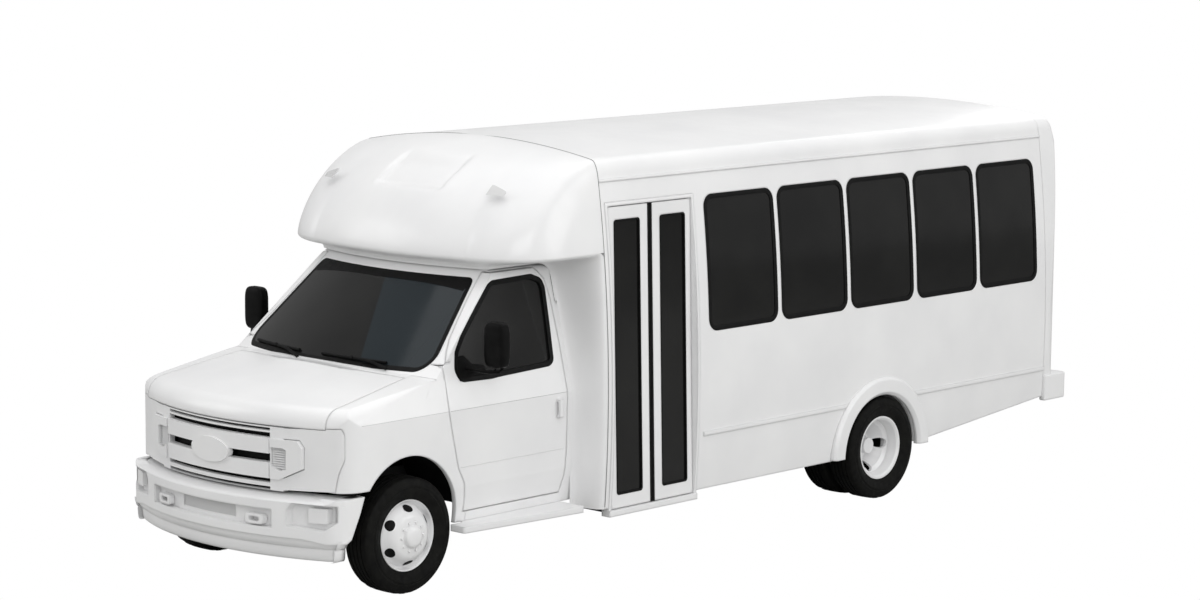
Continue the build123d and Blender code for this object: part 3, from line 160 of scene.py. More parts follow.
def paint(name, dark, light, rough=(0.3, 0.42), grain=0.00012, coat=0.25, round_edge=0.0):
    """Sprayed paint: faint mottling, a soft orange peel, a thin clear coat and rolled panel edges."""
    m = Mat(name)
    m.colour(m.noise(1.7, 4), dark, light)
    m.rough(m.noise(9, 5), *rough)
    m.bump(m.noise(260, 2), grain, 0.5)
    if round_edge:
        soft = m.add("ShaderNodeBevel", samples=6)
        soft.inputs["Radius"].default_value = round_edge
        m.link(soft.outputs["Normal"], m.last_bump.inputs["Normal"])
    m.set(Coat_Weight=coat, Coat_Roughness=0.12)
    return m.mat


def rubber(name, dark, light, scale=420, depth=0.0004, rough=(0.62, 0.85), gloss=0.2):
    m = Mat(name)
    m.set(Specular_IOR_Level=gloss)
    m.colour(m.noise(14, 6), dark, light)
    m.rough(m.noise(30, 4), *rough)
    m.bump(m.noise(scale, 3), depth, 0.7)
    return m.mat


def metal(name, dark, light, rough=(0.35, 0.6), metallic=0.7):
    m = Mat(name)
    m.colour(m.noise(22, 6), dark, light)
    m.rough(m.noise(60, 5), *rough)
    m.bump(m.noise(150, 4), 0.0004, 0.5)
    m.set(Metallic=metallic)
    return m.mat


def glass(name, dark, light, alpha=0.9, rough=(0.08, 0.14)):
    """Privacy glass: dark, glossy and only faintly see-through."""
    m = Mat(name)
    m.colour(m.noise(2.2, 2), dark, light)
    m.rough(m.noise(3.0, 3), *rough)
    m.bump(m.noise(1.4, 2), 0.0006, 0.4)
    m.set(Alpha=alpha, Specular_IOR_Level=0.22)
    return m.mat


WHITE = paint("body_white", (0.78, 0.78, 0.785), (0.84, 0.84, 0.84), round_edge=0.018)
TRIM_WHITE = paint("trim_white", (0.76, 0.76, 0.765), (0.82, 0.82, 0.82), (0.38, 0.5), 0.0002, 0.1)
RIM_WHITE = paint("rim_white", (0.74, 0.74, 0.75), (0.82, 0.82, 0.82), (0.28, 0.4), 0.0002, 0.3)
FRAME_BLACK = paint("chassis_black", (0.015, 0.015, 0.016), (0.04, 0.04, 0.042), (0.45, 0.7), 0.0005, 0.0)
BLACK = rubber("black_plastic", (0.003, 0.003, 0.003), (0.007, 0.007, 0.007), 600, 0.00025,
               (0.38, 0.52), 0.06)
SEAL = rubber("seal_rubber", (0.002, 0.002, 0.002), (0.005, 0.005, 0.005), 500, 0.0002, (0.45, 0.6), 0.12)
TYRE = rubber("tyre_rubber", (0.003, 0.003, 0.003), (0.007, 0.007, 0.006), 300, 0.0005, (0.6, 0.8), 0.12)
STEEL = metal("cast_steel", (0.16, 0.16, 0.165), (0.30, 0.30, 0.30))
GLASS = glass("dark_glass", (0.007, 0.007, 0.007), (0.012, 0.012, 0.0115), 0.975)
SCREEN_GLASS = glass("screen_glass", (0.006, 0.006, 0.006), (0.011, 0.011, 0.0105), 0.97)
# Where the windscreen's painted reflection begins
REFLECTION_SPLIT = (0.053, 0.665 + AXLE_Y, 0.598)


def paint_reflection_beyond(mat, colour):
    """Painted reflection: the windscreen's near part, past a slanting line, gets a paler colour that stands
    in for the sky it mirrors.
    """
    tree = mat.node_tree
    bsdf = tree.nodes["Principled BSDF"]
    old = bsdf.inputs["Base Color"].links[0].from_socket
    coord = tree.nodes.new("ShaderNodeTexCoord")
    dot = tree.nodes.new("ShaderNodeVectorMath")
    dot.operation = "DOT_PRODUCT"
    dot.inputs[1].default_value = (1.0, REFLECTION_SPLIT[2], 0.0)
    tree.links.new(coord.outputs["Object"], dot.inputs[0])
    soft = tree.nodes.new("ShaderNodeMapRange")
    soft.inputs["From Min"].default_value = REFLECTION_SPLIT[0] + REFLECTION_SPLIT[2] * REFLECTION_SPLIT[1] - 0.006
    soft.inputs["From Max"].default_value = REFLECTION_SPLIT[0] + REFLECTION_SPLIT[2] * REFLECTION_SPLIT[1] + 0.006
    tree.links.new(dot.outputs["Value"], soft.inputs["Value"])
    mix = tree.nodes.new("ShaderNodeMix")
    mix.data_type = "RGBA"
    mix.inputs["B"].default_value = (*colour, 1)
    tree.links.new(soft.outputs["Result"], mix.inputs["Factor"])
    tree.links.new(old, mix.inputs["A"])
    tree.links.new(mix.outputs["Result"], bsdf.inputs["Base Color"])


# Painted reflection: a paler blue-grey on the windscreen's near part stands in for mirrored sky.
paint_reflection_beyond(SCREEN_GLASS, (0.014, 0.020, 0.024))
FABRIC = rubber("seat_cloth", (0.05, 0.055, 0.07), (0.09, 0.095, 0.11), 900, 0.0008, (0.85, 0.95))
FLOORING = rubber("ribbed_floor", (0.05, 0.05, 0.052), (0.085, 0.085, 0.09), 350, 0.0006, (0.6, 0.8))
# Painted shade: the white slot back is darkened to grey to stand in for the shade inside the bumper's slot.
SLOT_PAINTED_SHADE = paint("slot_painted_shade", (0.50, 0.50, 0.505), (0.57, 0.57, 0.57))
SHADOW = rubber("panel_gap", (0.20, 0.20, 0.20), (0.26, 0.26, 0.26), 300, 0.0001, (0.8, 0.9))


def lens(name, colour):
    m = Mat(name)
    wave = m.add("ShaderNodeTexWave")
    wave.inputs["Scale"].default_value = 60
    m.link(m.coord, wave.inputs["Vector"])
    m.colour(m.noise(20, 3), [c * 0.8 for c in colour], colour)
    m.bump(wave.outputs["Fac"], 0.0008, 0.6)
    m.set(Roughness=0.12, Coat_Weight=0.6)
    return m.mat


RED_LENS = lens("red_lens", (0.42, 0.02, 0.02))


def white_ahead(mat, y):
    """The cap's marker lamps share the tail lamps' node: what lies ahead of y is white."""
    tree = mat.node_tree
    bsdf = tree.nodes["Principled BSDF"]
    old = bsdf.inputs["Base Color"].links[0].from_socket
    place = tree.nodes.new("ShaderNodeSeparateXYZ")
    ahead = tree.nodes.new("ShaderNodeMath")
    ahead.operation = "LESS_THAN"
    ahead.inputs[1].default_value = y
    mix = tree.nodes.new("ShaderNodeMix")
    mix.data_type = "RGBA"
    mix.inputs["B"].default_value = (0.62, 0.62, 0.62, 1)
    coord = tree.nodes.new("ShaderNodeTexCoord")
    tree.links.new(coord.outputs["Object"], place.inputs["Vector"])
    tree.links.new(place.outputs["Y"], ahead.inputs[0])
    tree.links.new(ahead.outputs["Value"], mix.inputs["Factor"])
    tree.links.new(old, mix.inputs["A"])
    tree.links.new(mix.outputs["Result"], bsdf.inputs["Base Color"])


white_ahead(RED_LENS, 0.0)

NODE_MATS = {
    "white_paint": WHITE, "trim_white": TRIM_WHITE, "frame_black": FRAME_BLACK, "steel": STEEL,
    "black_plastic": BLACK, "tyre_rubber": TYRE, "rim_white": RIM_WHITE, "dark_glass": GLASS,
    "lamp_red": RED_LENS, "seat_fabric": FABRIC, "floor_grey": FLOORING,
}
for part in frame["record"]["subparts"]:
    node = frame["nodes"][part["node"]]
    mat = NODE_MATS[part["material_slot"]]
    if part["node"] == "windscreen":
        mat = SCREEN_GLASS
    for slot in node.material_slots:
        slot.material = mat


# ---------------------------------------------------------------------------
# Mesh helpers
# ---------------------------------------------------------------------------
def piece(name, verts, faces, mat, body, slot, smooth=True, angle=35):
    mesh = bpy.data.meshes.new(name)
    mesh.from_pydata([tuple(v) for v in verts], [], faces)
    bm = bmesh.new()
    bm.from_mesh(mesh)
    bmesh.ops.recalc_face_normals(bm, faces=bm.faces)
    bm.to_mesh(mesh)
    bm.free()
    mesh.materials.append(mat)
    if smooth:
        mesh.shade_smooth()
        mesh.set_sharp_from_angle(angle=math.radians(angle))
    obj = bpy.data.objects.new(name, mesh)
    bpy.context.collection.objects.link(obj)
    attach(obj, body)
    return obj


def join_parts(parts):
    """Several (verts, faces) as one."""
    verts, faces = [], []
    for v, f in parts:
        base = len(verts)
        verts.extend(v)
        faces.extend([[i + base for i in face] for face in f])
    return verts, faces


def rows_to_faces(rows, count, closed_rows=True, closed_loop=True):
    faces = []
    last = rows if closed_rows else rows - 1
    end = count if closed_loop else count - 1
    for r in range(last):
        for i in range(end):
            a, b = r * count + i, r * count + (i + 1) % count
            c, d = ((r + 1) % rows) * count + (i + 1) % count, ((r + 1) % rows) * count + i
            faces.append([a, b, c, d])
    return faces


def round_outline(points, radii, steps=6):
    """Closed outline with each corner rounded; the same number of points for any size."""
    out = []
    n = len(points)
    for i in range(n):
        p0, p, p1 = Vector(points[i - 1]), Vector(points[i]), Vector(points[(i + 1) % n])
        a, b = (p0 - p), (p1 - p)
        la, lb = a.length, b.length
        a.normalize()
        b.normalize()
        half = max(0.05, math.acos(max(-1, min(1, a.dot(b)))) / 2)
        reach = min(radii[i] / math.tan(half), la * 0.48, lb * 0.48)
        r = reach * math.tan(half)
        s, e = p + a * reach, p + b * reach
        mid = (a + b)
        if mid.length < 1e-6 or r < 1e-5:
            out.extend([tuple(p)] * (steps + 1))
            continue
        centre = p + mid.normalized() * (r / math.sin(half))
        v0, v1 = s - centre, e - centre
        turn = math.atan2(v0.x * v1.y - v0.y * v1.x, v0.dot(v1))
        for k in range(steps + 1):
            t = turn * k / steps
            out.append((centre.x + v0.x * math.cos(t) - v0.y * math.sin(t),
                        centre.y + v0.x * math.sin(t) + v0.y * math.cos(t)))
    return out


def inset_outline(points, d):
    """A closed outline drawn in by d along each point's own normal."""
    n = len(points)
    pairs = [(points[i], points[(i + 1) % n]) for i in range(n)]
    area = sum(p[0] * q[1] - q[0] * p[1] for p, q in pairs)
    sign = 1 if area > 0 else -1
    out = []
    for i in range(n):
        p0, p1 = Vector(points[i - 1]), Vector(points[(i + 1) % n])
        t = p1 - p0
        t.normalize()
        out.append((points[i][0] - sign * t.y * d, points[i][1] + sign * t.x * d))
    return out


def dense(points, step=0.04):
    out = []
    n = len(points)
    for i in range(n):
        a, b = Vector(points[i]), Vector(points[(i + 1) % n])
        k = max(1, int((b - a).length / step))
        out.extend([tuple(a + (b - a) * j / k) for j in range(k)])
    return out


def bead(outline, width, place, high=0.002, low=-0.004, crown=0.0015):
    """A rubber band along a closed outline: flat foot, crowned top. place((u, v), height) gives x, y, z."""
    rows = [(0.0, low), (0.0, high * 0.6), (width * 0.15, high), (width * 0.5, high + crown),
            (width * 0.85, high), (width, high * 0.4), (width, low)]
    verts = []
    for d, h in rows:
        verts.extend([place(p, h) for p in (inset_outline(outline, d) if d else outline)])
    return verts, rows_to_faces(len(rows), len(outline))


def turned(profile, centre, steps=64, side=1):
    """A profile of (x outward, radius) turned about an axle along X."""
    verts = []
    for i in range(steps):
        a = 2 * math.pi * i / steps
        for x, r in profile:
            verts.append((centre[0] + side * x, centre[1] + r * math.sin(a), centre[2] + r * math.cos(a)))
    n = len(profile)
    faces = []
    for i in range(steps):
        j = (i + 1) % steps
        for k in range(n - 1):
            faces.append([i * n + k, j * n + k, j * n + k + 1, i * n + k + 1])
    return verts, faces


def tube(points, r, steps=8):
    """A round bar along a polyline."""
    verts = []
    n = len(points)
    for i, p in enumerate(points):
        p = Vector(p)
        t = Vector(points[min(i + 1, n - 1)]) - Vector(points[max(i - 1, 0)])
        t.normalize()
        u = t.cross(Vector((0, 0, 1)) if abs(t.z) < 0.9 else Vector((1, 0, 0))).normalized()
        w = t.cross(u)
        for k in range(steps):
            a = 2 * math.pi * k / steps
            verts.append(tuple(p + u * r * math.cos(a) + w * r * math.sin(a)))
    faces = rows_to_faces(n, steps, closed_rows=False)
    faces.append(list(range(steps)))
    faces.append([(n - 1) * steps + k for k in range(steps)])
    return verts, faces


# ---------------------------------------------------------------------------
# Side windows: black rubber frames
# ---------------------------------------------------------------------------
WINDOW_Y, WINDOW_PITCH, WINDOW_L = 2.562, 0.763, 0.724
WINDOW_Z0, WINDOW_Z1, WINDOW_R = 1.418, 2.340, 0.085
WINDOW_BEAD = 0.032


def side_place(side, point, height):
    y, z = point
    return side * (body_x(z) + height), y + AXLE_Y, z


def window_bead(y0, side):
    corners = [(y0, WINDOW_Z0), (y0 + WINDOW_L, WINDOW_Z0), (y0 + WINDOW_L, WINDOW_Z1), (y0, WINDOW_Z1)]
    line = dense(round_outline(corners, [WINDOW_R] * 4, 8), 0.05)
    return bead(line, WINDOW_BEAD, lambda p, h: side_place(side, p, h))


for label, side, first in (("left", 1, 0), ("right", -1, -1)):
    frames = [window_bead(WINDOW_Y + WINDOW_PITCH * i, side) for i in range(first, 5)]
    piece("window_rubbers_" + label, *join_parts(frames), SEAL, "chassis", "black_plastic")

# ---------------------------------------------------------------------------
# Windscreen: black border, shade band along the top, wipers
# ---------------------------------------------------------------------------
SCREEN_EDGE = [(-0.884, 1.357), (0.884, 1.357), (0.716, 1.897), (-0.716, 1.897)]
SCREEN_EDGE_R = [0.09, 0.09, 0.054, 0.054]


def screen_place(point, height):
    x, z = point
    return x, screen_y(x, z) - height, z


screen_line = dense(round_outline(SCREEN_EDGE, SCREEN_EDGE_R, 8), 0.05)
border = bead(screen_line, 0.026, screen_place, 0.0005, -0.010, 0.0008)


def shade_band():
    """The dark band along the windscreen's top, deeper at its ends."""
    verts, n = [], 24
    for i in range(n + 1):
        t = 2 * i / n - 1
        x = 0.705 * t
        deep = 0.035 + 0.035 * abs(t) ** 3
        for k in range(4):
            z = 1.888 - deep * k / 3
            verts.append(screen_place((x, z), -0.0002))
    strips = [(i * 4 + k, (i + 1) * 4 + k) for i in range(n) for k in range(3)]
    return verts, [[a, b, b + 1, a + 1] for a, b in strips]


piece("screen_border", *join_parts([border, shade_band()]), SEAL, "chassis", "black_plastic")


def wiper(foot, tip, elbow):
    """Arm from the cowl and a blade that lies on the glass; ends are x, z on the windscreen."""
    blade, arm = [], []
    for k in range(13):
        t = k / 12
        x, z = foot[0] + (tip[0] - foot[0]) * t, foot[1] + (tip[1] - foot[1]) * t
        blade.append(screen_place((x, z), 0.010))
    mid = blade[6]
    for k in range(9):
        t = k / 8
        arm.append(tuple(Vector(elbow).lerp(Vector(mid), t) + Vector((0, 0, 0.014 * math.sin(math.pi * t)))))
    pin = [mid, tuple(Vector(mid) + Vector((0, -0.012, 0.008)))]
    return join_parts([tube(blade, 0.0105), tube(arm, 0.0100), tube(pin, 0.012)])


WIPERS = [((-0.727, 1.398), (-0.205, 1.400), (-0.16, screen_y(-0.16, 1.36) - 0.02, 1.366)),
          ((0.017, 1.404), (0.560, 1.396), (0.60, screen_y(0.60, 1.36) - 0.02, 1.366))]
piece("wipers", *join_parts([wiper(*w) for w in WIPERS]), BLACK, "chassis", "black_plastic")

# ---------------------------------------------------------------------------
# Front cap with its rolled lip, the neck under it and the corner panels
# ---------------------------------------------------------------------------
SEAM_Y = 1.562
LIP_Z = 2.035
LIP_FRONT_Y, LIP_BOW, LIP_HALF, LIP_CORNER_R = 0.645, 0.192, 1.168, 0.450
ROOF_CREST, ROOF_ARC_R, ROOF_EDGE_X = 2.7279, 5.880, 1.050
CAP_PLAN_POWER, CAP_RISE_POWER = 1.55, 1.65


def roof_z(x):
    return ROOF_CREST - ROOF_ARC_R + math.sqrt(ROOF_ARC_R ** 2 - x * x)


def even(points, count):
    """The same line with its points evenly spaced."""
    pts = [Vector(p) for p in points]
    run = [0.0]
    for p, q in zip(pts, pts[1:]):
        run.append(run[-1] + (q - p).length)
    out, k = [], 0
    for i in range(count):
        want = run[-1] * i / (count - 1)
        while k < len(run) - 2 and run[k + 1] < want:
            k += 1
        t = (want - run[k]) / max(1e-9, run[k + 1] - run[k])
        out.append(pts[k].lerp(pts[k + 1], min(1, max(0, t))))
    return out


def seam_line(z0=LIP_Z, edge=0.0):
    """Half of the body's cross-section (x, z), from the side up to the roof's middle."""
    side = [(body_x(z) + edge, z) for z in [z0 + (2.50 - z0) * i / 24 for i in range(25)]]
    top = [(x, roof_z(x) + edge) for x in [ROOF_EDGE_X * (1 - i / 40) for i in range(41)]]
    p0, p2 = Vector(side[-1]), Vector(top[0])
    p1 = Vector((body_x(2.62) + edge, roof_z(body_x(2.62)) + edge))
    turn = [(1 - t) ** 2 * p0 + 2 * t * (1 - t) * p1 + t * t * p2 for t in [i / 14 for i in range(1, 14)]]
    return side + [tuple(v) for v in turn] + top


def lip_line(inset=0.0):
    """Half of the lip in plan (x, y), from the seam round to the front's middle."""
    half, r = LIP_HALF - inset, LIP_CORNER_R - inset
    edge = half - r
    base = LIP_FRONT_Y + inset + LIP_BOW * edge * edge
    line = [(half, SEAM_Y + (base + r - SEAM_Y) * i / 14) for i in range(15)]
    for i in range(1, 19):
        t = math.pi / 2 * i / 18
        line.append((edge + r * math.cos(t), base + r - r * math.sin(t)))
    for i in range(1, 25):
        x = edge * (1 - i / 24)
        line.append((x, LIP_FRONT_Y + inset + LIP_BOW * x * x))
    return line


RECESS = (0.30, 2.435, 2.600)
RECESS_DEEP = 0.030


def step_in(v, edge, soft):
    t = min(1, max(0, (v - edge) / soft + 0.5))
    return t * t * (3 - 2 * t)


def recess_depth(x, z):
    """How far the brow's shallow recess stands in at x, z."""
    half, z0, z1 = RECESS
    across = step_in(half - abs(x), 0, 0.030)
    return RECESS_DEEP * across * step_in(z - z0, 0, 0.014) * (1 - step_in(z, z1, 0.10))


def cap_shell():
    across, along = 90, 56
    seam, lip = even(seam_line(), across), even(lip_line(), across)
    half = []
    for i in range(across):
        row = []
        for k in range(along):
            h = math.sin(math.pi / 2 * k / (along - 1))
            v = (1 - h ** CAP_PLAN_POWER) ** (1 / CAP_RISE_POWER)
            x = lip[i].x + (seam[i].x - lip[i].x) * v
            y = SEAM_Y + (lip[i].y - SEAM_Y) * h
            z = LIP_Z + (seam[i].y - LIP_Z) * v
            d = recess_depth(x, z)
            row.append((x, y + d * 0.8 + AXLE_Y, z - d * 0.6))
        half.append(row)
    rows = half + [[(-x, y, z) for x, y, z in row] for row in reversed(half[:-1])]
    verts = [v for row in rows for v in row]
    return verts, rows_to_faces(len(rows), along, False, False)


obj = piece("cap_shell", *cap_shell(), WHITE, "chassis", "white_paint", angle=40)
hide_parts("front_cap")


CAB_BACK_Y = 1.430
HEAD_Z = 1.925
NECK_LEVEL, NECK_TURN, NECK_DOWN = 64, 10, 46


def spans(level, corner, down):
    """A level run, a short rounded turn at a corner and a falling run, each evenly spaced."""
    level, down = even(level, NECK_LEVEL), even(down, NECK_DOWN)
    a, b, c = level[-1], Vector(corner), down[0]
    turn = [(1 - t) ** 2 * a + 2 * t * (1 - t) * b + t * t * c
            for t in [i / (NECK_TURN + 1) for i in range(1, NECK_TURN + 1)]]
    return level + turn + down


def neck_shell():
    """One concave sweep: from the cab's roof out to the cap's lip, and down beside the door to the skirt."""
    lip = [(x, y, LIP_Z + 0.004) for x, y in reversed(lip_line()) if y < 1.52]
    outer_z = [1.985 - (1.985 - 0.345) * i / 26 for i in range(27)]
    rise = [(body_x(z) - 0.002, SEAM_Y, z) for z in outer_z]
    outer = spans(lip, (body_x(2.03) - 0.004, SEAM_Y, LIP_Z), rise)
    head = []
    for i in range(31):
        x = 0.765 * i / 30
        head.append((x, screen_y(x, HEAD_Z) - AXLE_Y + 0.012, HEAD_Z + 0.022))
    for i in range(1, 20):
        head.append((0.792, 0.86 + (1.33 - 0.86) * i / 19, 1.952))
    inner_z = [1.84 - (1.84 - 0.345) * i / 26 for i in range(27)]
    inner = spans(head, (0.80, CAB_BACK_Y, 1.95), [(cab_x(z) - 0.004, CAB_BACK_Y, z) for z in inner_z])
    across = 24
    half = []
    for i, (o, p) in enumerate(zip(outer, inner)):
        fall = step_in(i, NECK_LEVEL + NECK_TURN / 2, NECK_TURN * 2.4)
        back = Vector((0, 1, 0)) * fall + Vector((0, 0, 1)) * (1 - fall)
        back.normalize()
        reach = max(0.02, (o - p).dot(back))
        c0, c1 = p + back * min(0.085, reach * 0.75), o - back * min(0.075, reach * 0.75)
        row = []
        for k in range(across):
            t = k / (across - 1)
            q = (1 - t) ** 3 * p + 3 * t * (1 - t) ** 2 * c0 + 3 * t * t * (1 - t) * c1 + t ** 3 * o
            row.append((q.x, q.y + AXLE_Y, q.z))
        half.append(row)
    rows = [[(-x, y, z) for x, y, z in row] for row in reversed(half[1:])] + half
    verts = [v for row in rows for v in row]
    return verts, rows_to_faces(len(rows), across, False, False)


obj = piece("cap_neck", *neck_shell(), WHITE, "chassis", "white_paint", angle=60)
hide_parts("front_corner_panels")


# The cap's seam: a thin grey bead on the skin
def seam_bead(points, r):
    return tube(points, r, 6)


SEAM_R = 0.0022
SEAM_TOP = roof_z(0) - SEAM_R - 0.0002
seam_pts = [(x, SEAM_Y + AXLE_Y, min(z, SEAM_TOP)) for x, z in seam_line(0.36, 0.0008)]
seam_pts = seam_pts + [(-x, y, z) for x, y, z in reversed(seam_pts[:-1])]
lines = [seam_bead(seam_pts, SEAM_R)]
piece("cap_seam", *join_parts(lines), SHADOW, "chassis", "black_plastic")

# ---------------------------------------------------------------------------
# Front end: bumper shelf and slot, valance, grille vents
# ---------------------------------------------------------------------------
BUMPER_Y, BUMPER_HALF, BUMPER_CORNER = -0.850, 0.992, 0.150
NOSE_HALF, NOSE_CORNER = 1.005, 0.170


def plan_line(front_y, half, corner, inset, back_y, r=NOSE_R):
    """Half of a bowed front in plan, from the middle round the corner to back_y; row frame."""
    arc_r, side, round_r = r - inset, half - inset, corner - inset
    centre_y = front_y + r
    cx = side - round_r
    reach = arc_r - round_r
    cy = centre_y - math.sqrt(reach * reach - cx * cx)
    start = math.atan2(cx, centre_y - cy)
    line = []
    for i in range(31):
        t = start * i / 30
        line.append((arc_r * math.sin(t), centre_y - arc_r * math.cos(t)))
    for i in range(1, 15):
        t = start + (math.pi / 2 - start) * i / 14
        line.append((cx + round_r * math.sin(t), cy - round_r * math.cos(t)))
    line.append((side, back_y))
    return [(x, y + AXLE_Y) for x, y in line]


def plan_sweep(rows, closed=False):
    """rows of (inset, z, back_y) over the same plan; both sides."""
    out = []
    for front_y, half, corner, inset, z, back_y in rows:
        line = even(plan_line(front_y, half, corner, inset, back_y), 60)
        line = [(-p.x, p.y) for p in reversed(line[1:])] + [(p.x, p.y) for p in line]
        out.append([(x, y, z) for x, y in line])
    verts = [v for row in out for v in row]
    return verts, rows_to_faces(len(out), len(out[0]), closed, False)


def bumper_row(inset, z, back_y=-0.56):
    return BUMPER_Y, BUMPER_HALF, BUMPER_CORNER, inset, z, back_y


def nose_row(inset, z, back_y=-0.56):
    return NOSE_Y, NOSE_HALF, NOSE_CORNER, inset, z, back_y


shelf = plan_sweep([bumper_row(0.004, 0.6465), bumper_row(0.012, 0.654), bumper_row(0.040, 0.660),
                    nose_row(0.020, 0.676), nose_row(0.090, 0.680)])
slot_back = plan_sweep([bumper_row(0.052, 0.470), bumper_row(0.052, 0.600)])
piece("bumper_shelf", *shelf, WHITE, "chassis", "white_paint")
# The slot's back is grey: painted shade inside the slot.
piece("bumper_slot_back", *slot_back, SLOT_PAINTED_SHADE, "chassis", "white_paint")

VALANCE = [(0.010, 0.4235), (0.016, 0.400), (0.030, 0.372), (0.044, 0.366), (0.040, 0.352), (0.046, 0.300),
           (0.056, 0.286), (0.075, 0.284)]
obj = piece("valance_skirt", *plan_sweep([bumper_row(d, z, -0.60) for d, z in VALANCE]), WHITE, "chassis",
            "white_paint", angle=50)
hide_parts("valance")


REAR_STEP = (1.232, 6.452, 6.738, 0.478, 0.672)


def rear_step():
    """The rear step bumper: a rounded bar with ends that wrap onto the sides."""
    x, y0, y1, z0, z1 = REAR_STEP
    inner = x - 0.055
    plan = [(-x, y0), (-x, y1), (x, y1), (x, y0), (inner, y0), (inner, y1 - 0.18), (-inner, y1 - 0.18),
            (-inner, y0)]
    line = round_outline(plan, [0.012, 0.045, 0.045, 0.012, 0.012, 0.02, 0.02, 0.012], 6)
    rows = [(0.006, z0), (0.0, z0 + 0.006), (0.0, z1 - 0.006), (0.006, z1)]
    verts = []
    for d, z in rows:
        verts += [(px, py + AXLE_Y, z) for px, py in (inset_outline(line, d) if d else line)]
    n = len(line)
    faces = rows_to_faces(len(rows), n, False, True)
    faces += [list(range(n)), [3 * n + k for k in range(n)]]
    return verts, faces


obj = piece("rear_step_bar", *rear_step(), WHITE, "chassis", "white_paint", angle=40)
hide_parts("rear_bumper")


def nose_strip(x0, x1, z0, z1, proud, n=6):
    """A flat patch that follows the nose's bow between x0 and x1."""
    verts = []
    for i in range(n + 1):
        x = x0 + (x1 - x0) * i / n
        for z in (z0, z1):
            verts.append((x, nose_y(x) - proud, z))
    return verts, [[i * 2, i * 2 + 2, i * 2 + 3, i * 2 + 1] for i in range(n)]


def louvre(x0, x1, z, proud):
    """One slanted blade of a bracket's vent."""
    verts = []
    for x in (x0, x1):
        y = nose_y(x)
        verts += [(x, y - proud, z), (x, y - proud + 0.014, z + 0.009), (x, y - proud + 0.014, z - 0.002)]
    return verts, [[0, 3, 4, 1], [1, 4, 5, 2], [2, 5, 3, 0], [0, 1, 2], [3, 5, 4]]


vents = []
for side in (1, -1):
    for k in range(9):
        vents.append(louvre(side * 0.502, side * 0.600, 0.838 + 0.0145 * k, 0.006))
piece("grille_vents", *join_parts(vents), TRIM_WHITE, "chassis", "trim_white", smooth=False)
core = [nose_strip(-0.483, 0.483, 0.70, 1.085, -0.055, 16)]
piece("grille_dark", *join_parts(core), SEAL, "chassis", "black_plastic")

# ---------------------------------------------------------------------------
# Creases along the cab's side: grey bars of painted shade along the belt crease, and a white bead along the
# lower fold
# ---------------------------------------------------------------------------
# Painted shade: the grey stands in for the shade that falls in the belt crease.
CREASE_SHADE = paint("crease_painted_shade", (0.42, 0.42, 0.42), (0.50, 0.50, 0.50))


def skin_of(node):
    """The CAD node's mesh, ready for ray tests."""
    obj = frame["nodes"][node]
    verts = [obj.matrix_world @ v.co for v in obj.data.vertices]
    return BVHTree.FromPolygons(verts, [list(p.vertices) for p in obj.data.polygons])


def flank_line(skin, side, span, z, r, sink):
    """A thin level bar let into a flank over a span of y, in the row frame."""
    pts = []
    for i in range(33):
        y, z = Vector((span[0], z)).lerp(Vector((span[1], z)), i / 32)
        hit = skin.ray_cast(Vector((side * 1.6, y + AXLE_Y, z)), Vector((-side, 0, 0)))[0]
        if hit is not None:
            pts.append((hit.x - side * sink, hit.y, hit.z))
    return tube(pts, r, 6)


BELT_Z, FOLD_Z = 1.122, 0.752
DOOR_BELT_Y, DOOR_FOLD_Y, WING_BELT_Y = (0.338, 1.396), (0.400, 1.395), (-0.420, 0.324)
# The flank at the pillar's foot, where wing and pillar are one skin: z, then y from and to
PILLAR_FOOT = [(1.205, 0.146, 0.322), (1.240, 0.160, 0.325), (1.280, 0.196, 0.328), (1.319, 0.234, 0.331)]


def pillar_foot(side):
    rows = []
    for z, y0, y1 in PILLAR_FOOT:
        rows.append([(side * (cab_x(z) + 0.0006), y0 + (y1 - y0) * i / 8 + AXLE_Y, z) for i in range(9)])
    return [v for row in rows for v in row], rows_to_faces(len(rows), 9, False, False)


wing_skin = skin_of("wings")
for label, side in (("left", 1), ("right", -1)):
    door_skin = skin_of("cab_door_" + label)
    belt = flank_line(door_skin, side, DOOR_BELT_Y, BELT_Z, 0.0016, -0.0002)
    piece("door_crease_" + label, *belt, CREASE_SHADE, "door_" + label, "white_paint")
    fold = flank_line(door_skin, side, DOOR_FOLD_Y, FOLD_Z, 0.007, 0.0045)
    piece("door_fold_" + label, *fold, WHITE, "door_" + label, "white_paint")
    belt = flank_line(wing_skin, side, WING_BELT_Y, BELT_Z, 0.0014, 0.0002)
    piece("wing_crease_" + label, *belt, CREASE_SHADE, "chassis", "white_paint")
    piece("pillar_foot_" + label, *pillar_foot(side), WHITE, "chassis", "white_paint")

# ---------------------------------------------------------------------------
# Cab doors: window rubber, mirror's foot; entry leaves: gaskets and the seal between them
# ---------------------------------------------------------------------------
DOOR_WINDOW = [(0.462, 1.293), (0.740, 1.286), (0.808, 1.291), (1.282, 1.307), (1.317, 1.332), (1.334, 1.552),
               (1.348, 1.800), (1.332, 1.854), (1.246, 1.888), (0.886, 1.878), (0.846, 1.859), (0.654, 1.682),
               (0.535, 1.567), (0.462, 1.475), (0.434, 1.365)]


def door_place(side, point, height):
    y, z = point
    return side * (cab_x(z) + height), y + AXLE_Y, z


for label, side in (("left", 1), ("right", -1)):
    line = dense(round_outline(inset_outline(DOOR_WINDOW, -0.007), [0.075] * len(DOOR_WINDOW), 4), 0.05)
    rubber_part = bead(line, 0.032, lambda p, h: door_place(side, p, h), 0.0015, -0.018, 0.001)
    piece("door_rubber_" + label, *rubber_part, SEAL, "door_" + label, "black_plastic")

LEAF_PANE = (1.628 + 0.054, 2.008 - 0.072, ENTRY_Z0 + 0.092, ENTRY_Z1 - 0.092)
ENTRY_MID = 2.032


